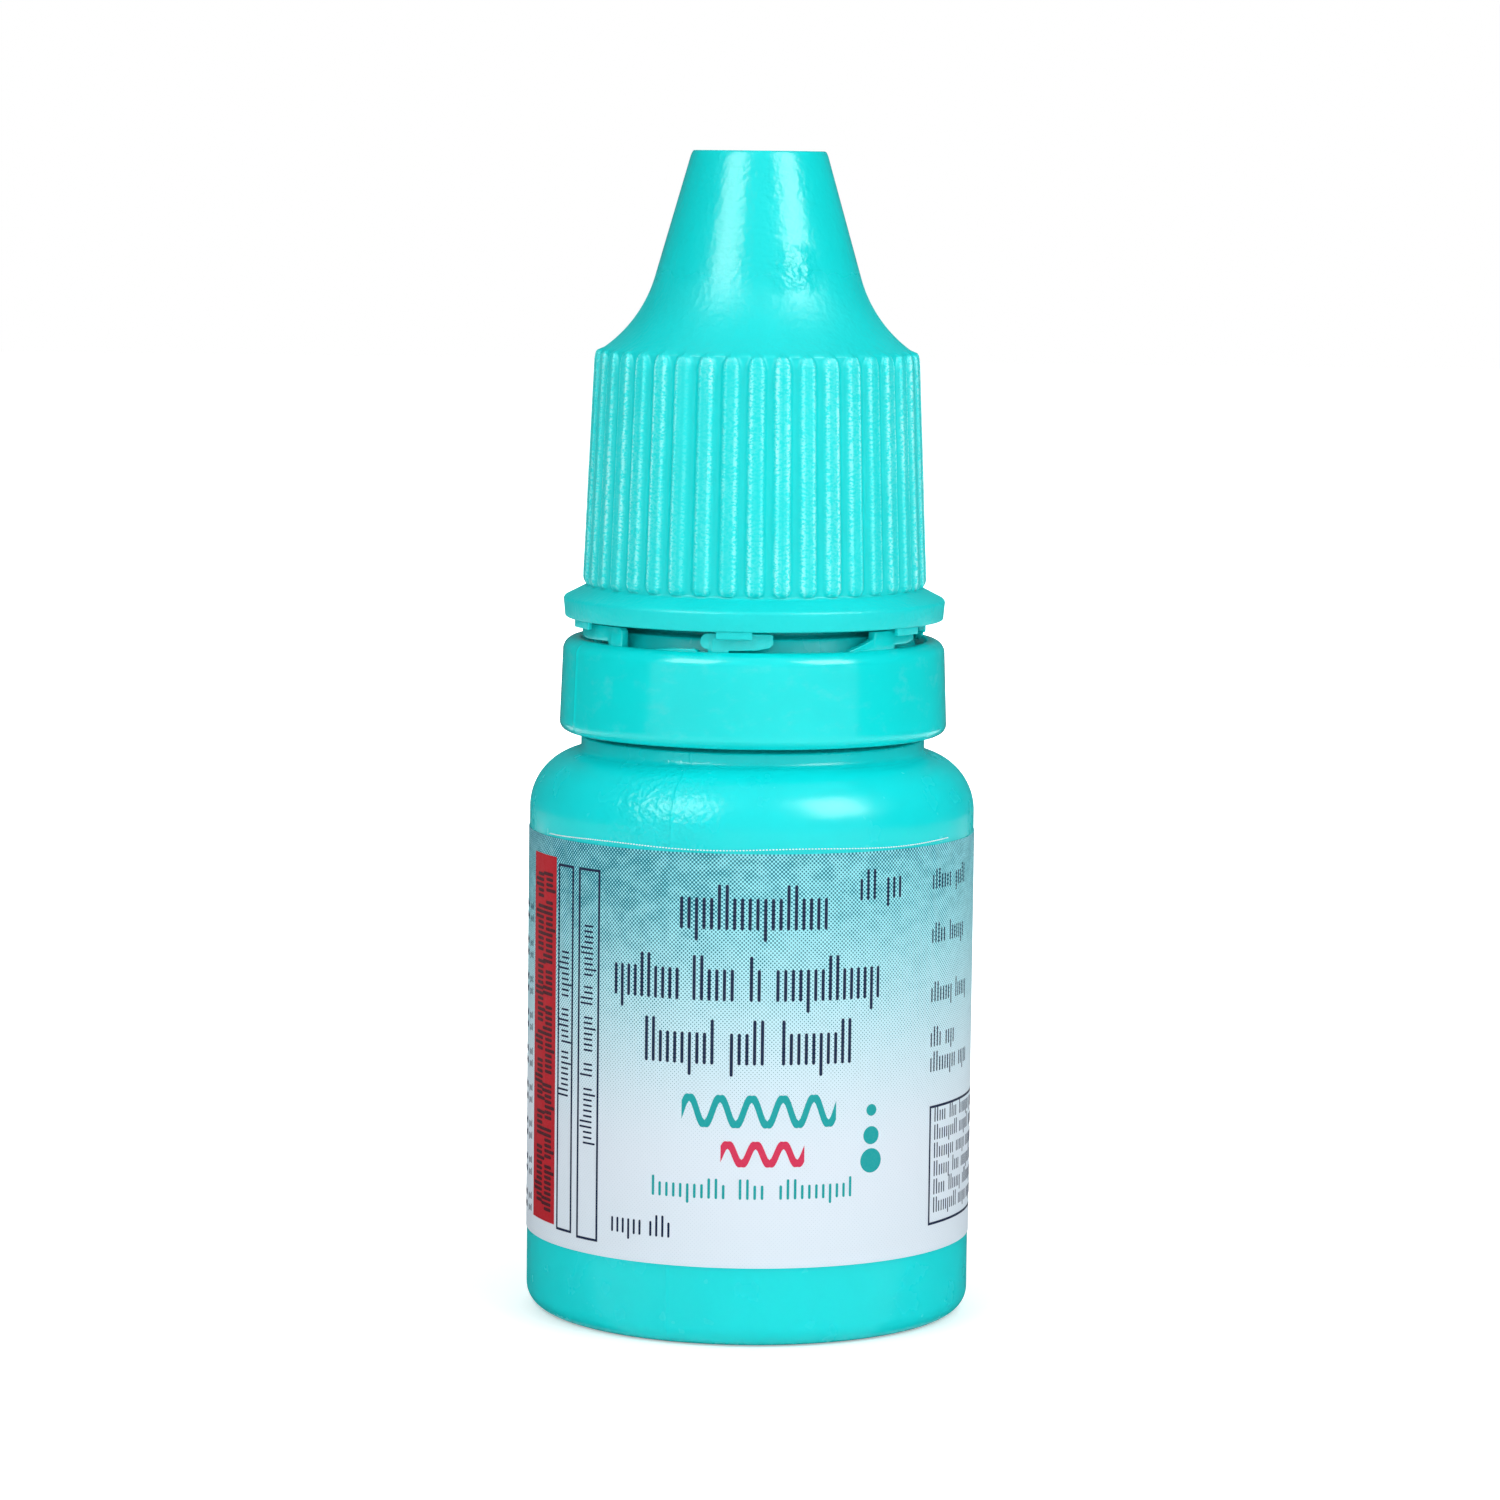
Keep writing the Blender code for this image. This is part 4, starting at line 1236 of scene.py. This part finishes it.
class EYEDROPS_OT_cap(Operator):
    """Moulds the ribbed screw cap"""

    bl_idname = "eyedrops.cap"
    bl_label = "Screw cap"

    def execute(self, context):
        material = cap_plastic(context.scene.eye_drop_finish)
        finish_piece(mould_cap(context.scene.eye_drop_sizes), material, "cap", "cap_plastic", "screw_cap")
        finish_piece(mould_tabs(), material, "cap", "cap_plastic")
        return {"FINISHED"}


def aim(item, place, target):
    """Puts a lamp or a camera at a place and turns it to look at its target."""
    looking = (target - place).to_track_quat("-Z", "Y").to_matrix().to_4x4()
    item.matrix_world = Matrix.Translation(place) @ looking


def soft_lamp(name, direction, distance, size, power):
    """A soft box that looks at the bottle from a direction."""
    azimuth, elevation = direction
    lamp = bpy.data.lights.new(name, "AREA")
    lamp.shape = "RECTANGLE"
    lamp.size = size[0]
    lamp.size_y = size[1]
    lamp.energy = power
    item = bpy.data.objects.new(name, lamp)
    bpy.context.scene.collection.objects.link(item)
    target = Vector((0, 0, LAMP_AIM_HEIGHT))
    level = distance * cos(elevation)
    away = Vector((level * sin(azimuth), -level * cos(azimuth), distance * sin(elevation)))
    aim(item, target + away, target)
    return item


def floor_finish():
    """A pale floor that shows white to the camera and keeps the bottle's shadow."""
    shader = Shader("pale_floor")
    shader.set(roughness=0.9, specular_ior_level=0.0)
    paper = shader.mix(shader.clouds(3.0, 2.0), display(234, 234, 234), display(237, 237, 237))
    shader.link(paper, "Base Color")
    away = shader.add("ShaderNodeVectorMath", {0: shader.place((1, 1, 0))}, operation="LENGTH")
    near_glow = shader.band(away.outputs["Value"], *SEEN_GLOW_REACH, SHADOW_GLOW, 1.0)
    far_glow = shader.band(away.outputs["Value"], *MIRRORED_GLOW_REACH)
    ray = shader.add("ShaderNodeLightPath", {}).outputs
    mirrored = shader.maths("MAXIMUM", ray["Is Glossy Ray"], ray["Is Transmission Ray"])
    seen = shader.times(ray["Is Camera Ray"], near_glow)
    strength = shader.plus(seen, shader.times(mirrored, far_glow))
    glow = shader.add("ShaderNodeEmission", {"Color": (1, 1, 1, 1), "Strength": strength})
    both = shader.add("ShaderNodeAddShader", {0: shader.surface.outputs[0], 1: glow.outputs[0]})
    shader.tree.links.new(both.outputs[0], shader.tree.nodes["Material Output"].inputs["Surface"])
    return shader.material


def room(strength, mirrored):
    """A plain bright room: white where the camera sees it, soft grey where it lights the bottle."""
    world = bpy.data.worlds.new("pale_room")
    world.use_nodes = True
    tree = world.node_tree
    seen = tree.nodes.new("ShaderNodeLightPath").outputs

    def choose(factor, first, second):
        """The first value where the factor is 0, the second where it is 1."""
        made = tree.nodes.new("ShaderNodeMix")
        tree.links.new(factor, made.inputs["Factor"])
        for name, value in (("A", first), ("B", second)):
            if isinstance(value, float):
                made.inputs[name].default_value = value
            else:
                tree.links.new(value, made.inputs[name])
        return made.outputs["Result"]

    glossy = choose(seen["Is Glossy Ray"], strength, mirrored)
    through = choose(seen["Is Transmission Ray"], glossy, 1.0)
    tree.links.new(choose(seen["Is Camera Ray"], through, 1.0), tree.nodes["Background"].inputs["Strength"])
    tree.nodes["Background"].inputs["Color"].default_value = (1, 1, 1, 1)
    return world


def flat_corners(reach, front, level):
    """The corners of a level sheet. It reaches less far to the front than to the back and the sides."""
    return [(-reach, -front, level), (reach, -front, level), (reach, reach, level), (-reach, reach, level)]


def standing_corners(azimuth, distance, width, height):
    """The corners of an upright card that faces the bottle."""
    place = Matrix.Rotation(azimuth, 4, "Z") @ Matrix.Translation((0, -distance, 0))
    sides = [(-width / 2, CARD_LIFT), (width / 2, CARD_LIFT), (width / 2, height), (-width / 2, height)]
    return [place @ Vector((across, 0, level)) for across, level in sides]


def grey_card(name, corners):
    """A grey card near the bottle, which only its gloss shows, so that its sides stay deep in colour."""
    card = new_piece(name, corners, [(0, 1, 2, 3)])
    shader = Shader(name)
    shader.link(shader.mix(shader.clouds(4.0), display(70, 70, 70), display(80, 80, 80)), "Base Color")
    shader.set(roughness=0.9, specular_ior_level=0.1)
    card.data.materials.append(shader.material)
    card.visible_camera = False
    card.visible_diffuse = False
    card.visible_shadow = False
    return card


class EYEDROPS_OT_stage(Operator):
    """Sets the floor, the soft lamps, the room and the camera"""

    bl_idname = "eyedrops.stage"
    bl_label = "Stage"

    def execute(self, context):
        stage = context.scene.eye_drop_stage
        floor = new_piece("floor", flat_corners(FLOOR_REACH, FLOOR_REACH, 0), [(0, 1, 2, 3)])
        floor.data.materials.append(floor_finish())
        for side, azimuth, power, sheen in (
            ("left", LEFT_AZIMUTH, stage.left_power, stage.left_sheen),
            ("right", RIGHT_AZIMUTH, stage.right_power, stage.right_sheen),
        ):
            direction = (azimuth, SIDE_LAMP_ELEVATION)
            lamp = soft_lamp(side + "_lamp", direction, SIDE_DISTANCE, SIDE_LAMP_SIZE, power)
            lamp.visible_glossy = False
            direction = (azimuth, SCREEN_ELEVATION)
            screen = soft_lamp(side + "_screen", direction, SIDE_DISTANCE, SCREEN_SIZE, sheen)
            screen.visible_diffuse = False
        for name, direction, power in (
            ("front_fill", FRONT_FILL_DIRECTION, stage.fill_power),
            ("back_fill", BACK_FILL_DIRECTION, stage.back_power),
        ):
            lamp = soft_lamp(name, direction, FILL_DISTANCE, FILL_SIZE, power)
            lamp.visible_glossy = False
        for side, azimuth in (("left", -CARD_AZIMUTH), ("right", CARD_AZIMUTH)):
            corners = standing_corners(azimuth, CARD_DISTANCE, CARD_WIDTH, CARD_HEIGHT)
            grey_card(side + "_card", corners)
        corners = standing_corners(pi, BACK_CARD_DISTANCE, BACK_CARD_WIDTH, BACK_CARD_HEIGHT)
        grey_card("back_card", corners)
        grey_card("floor_card", flat_corners(FLOOR_CARD_REACH, FLOOR_CARD_FRONT, CARD_LIFT))
        context.scene.world = room(stage.room_light, stage.mirrored_room)
        camera = bpy.data.objects.new("camera", bpy.data.cameras.new("camera"))
        context.scene.collection.objects.link(camera)
        camera.data.lens = stage.lens
        camera.data.clip_start = CAMERA_NEAR
        tilt = stage.elevation
        target = Vector((stage.target_side, 0, stage.target_height))
        place = target + Vector((0, -stage.distance * cos(tilt), stage.distance * sin(tilt)))
        aim(camera, place, target)
        camera.matrix_world = camera.matrix_world @ Matrix.Rotation(stage.roll, 4, "Z")
        context.scene.camera = camera
        context.scene.view_settings.view_transform = "Standard"
        return {"FINISHED"}


class EYEDROPS_PT_panel(Panel):
    """Lists the steps, sizes, colours and stage settings in the sidebar"""

    bl_idname = "EYEDROPS_PT_panel"
    bl_label = "Eye drop bottle"
    bl_space_type = "VIEW_3D"
    bl_region_type = "UI"
    bl_category = "Eye drops"

    def draw(self, context):
        for step in STEPS:
            self.layout.operator(step.bl_idname)
        scene = context.scene
        for title, group in (
            ("Sizes", scene.eye_drop_sizes),
            ("Finish", scene.eye_drop_finish),
            ("Camera and light", scene.eye_drop_stage),
        ):
            box = self.layout.box()
            box.label(text=title)
            for name in type(group).__annotations__:
                box.prop(group, name)


STEPS = (
    EYEDROPS_OT_bottle,
    EYEDROPS_OT_label,
    EYEDROPS_OT_nozzle,
    EYEDROPS_OT_ring,
    EYEDROPS_OT_cap,
    EYEDROPS_OT_stage,
)
CLASSES = (EyeDropSizes, EyeDropFinish, EyeDropStage, *STEPS, EYEDROPS_PT_panel)


def register():
    for item in CLASSES:
        bpy.utils.register_class(item)
    bpy.types.Scene.eye_drop_sizes = PointerProperty(type=EyeDropSizes)
    bpy.types.Scene.eye_drop_finish = PointerProperty(type=EyeDropFinish)
    bpy.types.Scene.eye_drop_stage = PointerProperty(type=EyeDropStage)


def unregister():
    del bpy.types.Scene.eye_drop_stage
    del bpy.types.Scene.eye_drop_finish
    del bpy.types.Scene.eye_drop_sizes
    for item in reversed(CLASSES):
        bpy.utils.unregister_class(item)


def main():
    """Makes every piece and the stage, one step after the other."""
    register()
    for step in STEPS:
        group, name = step.bl_idname.split(".")
        getattr(getattr(bpy.ops, group), name)()


if __name__ == "__main__":
    main()
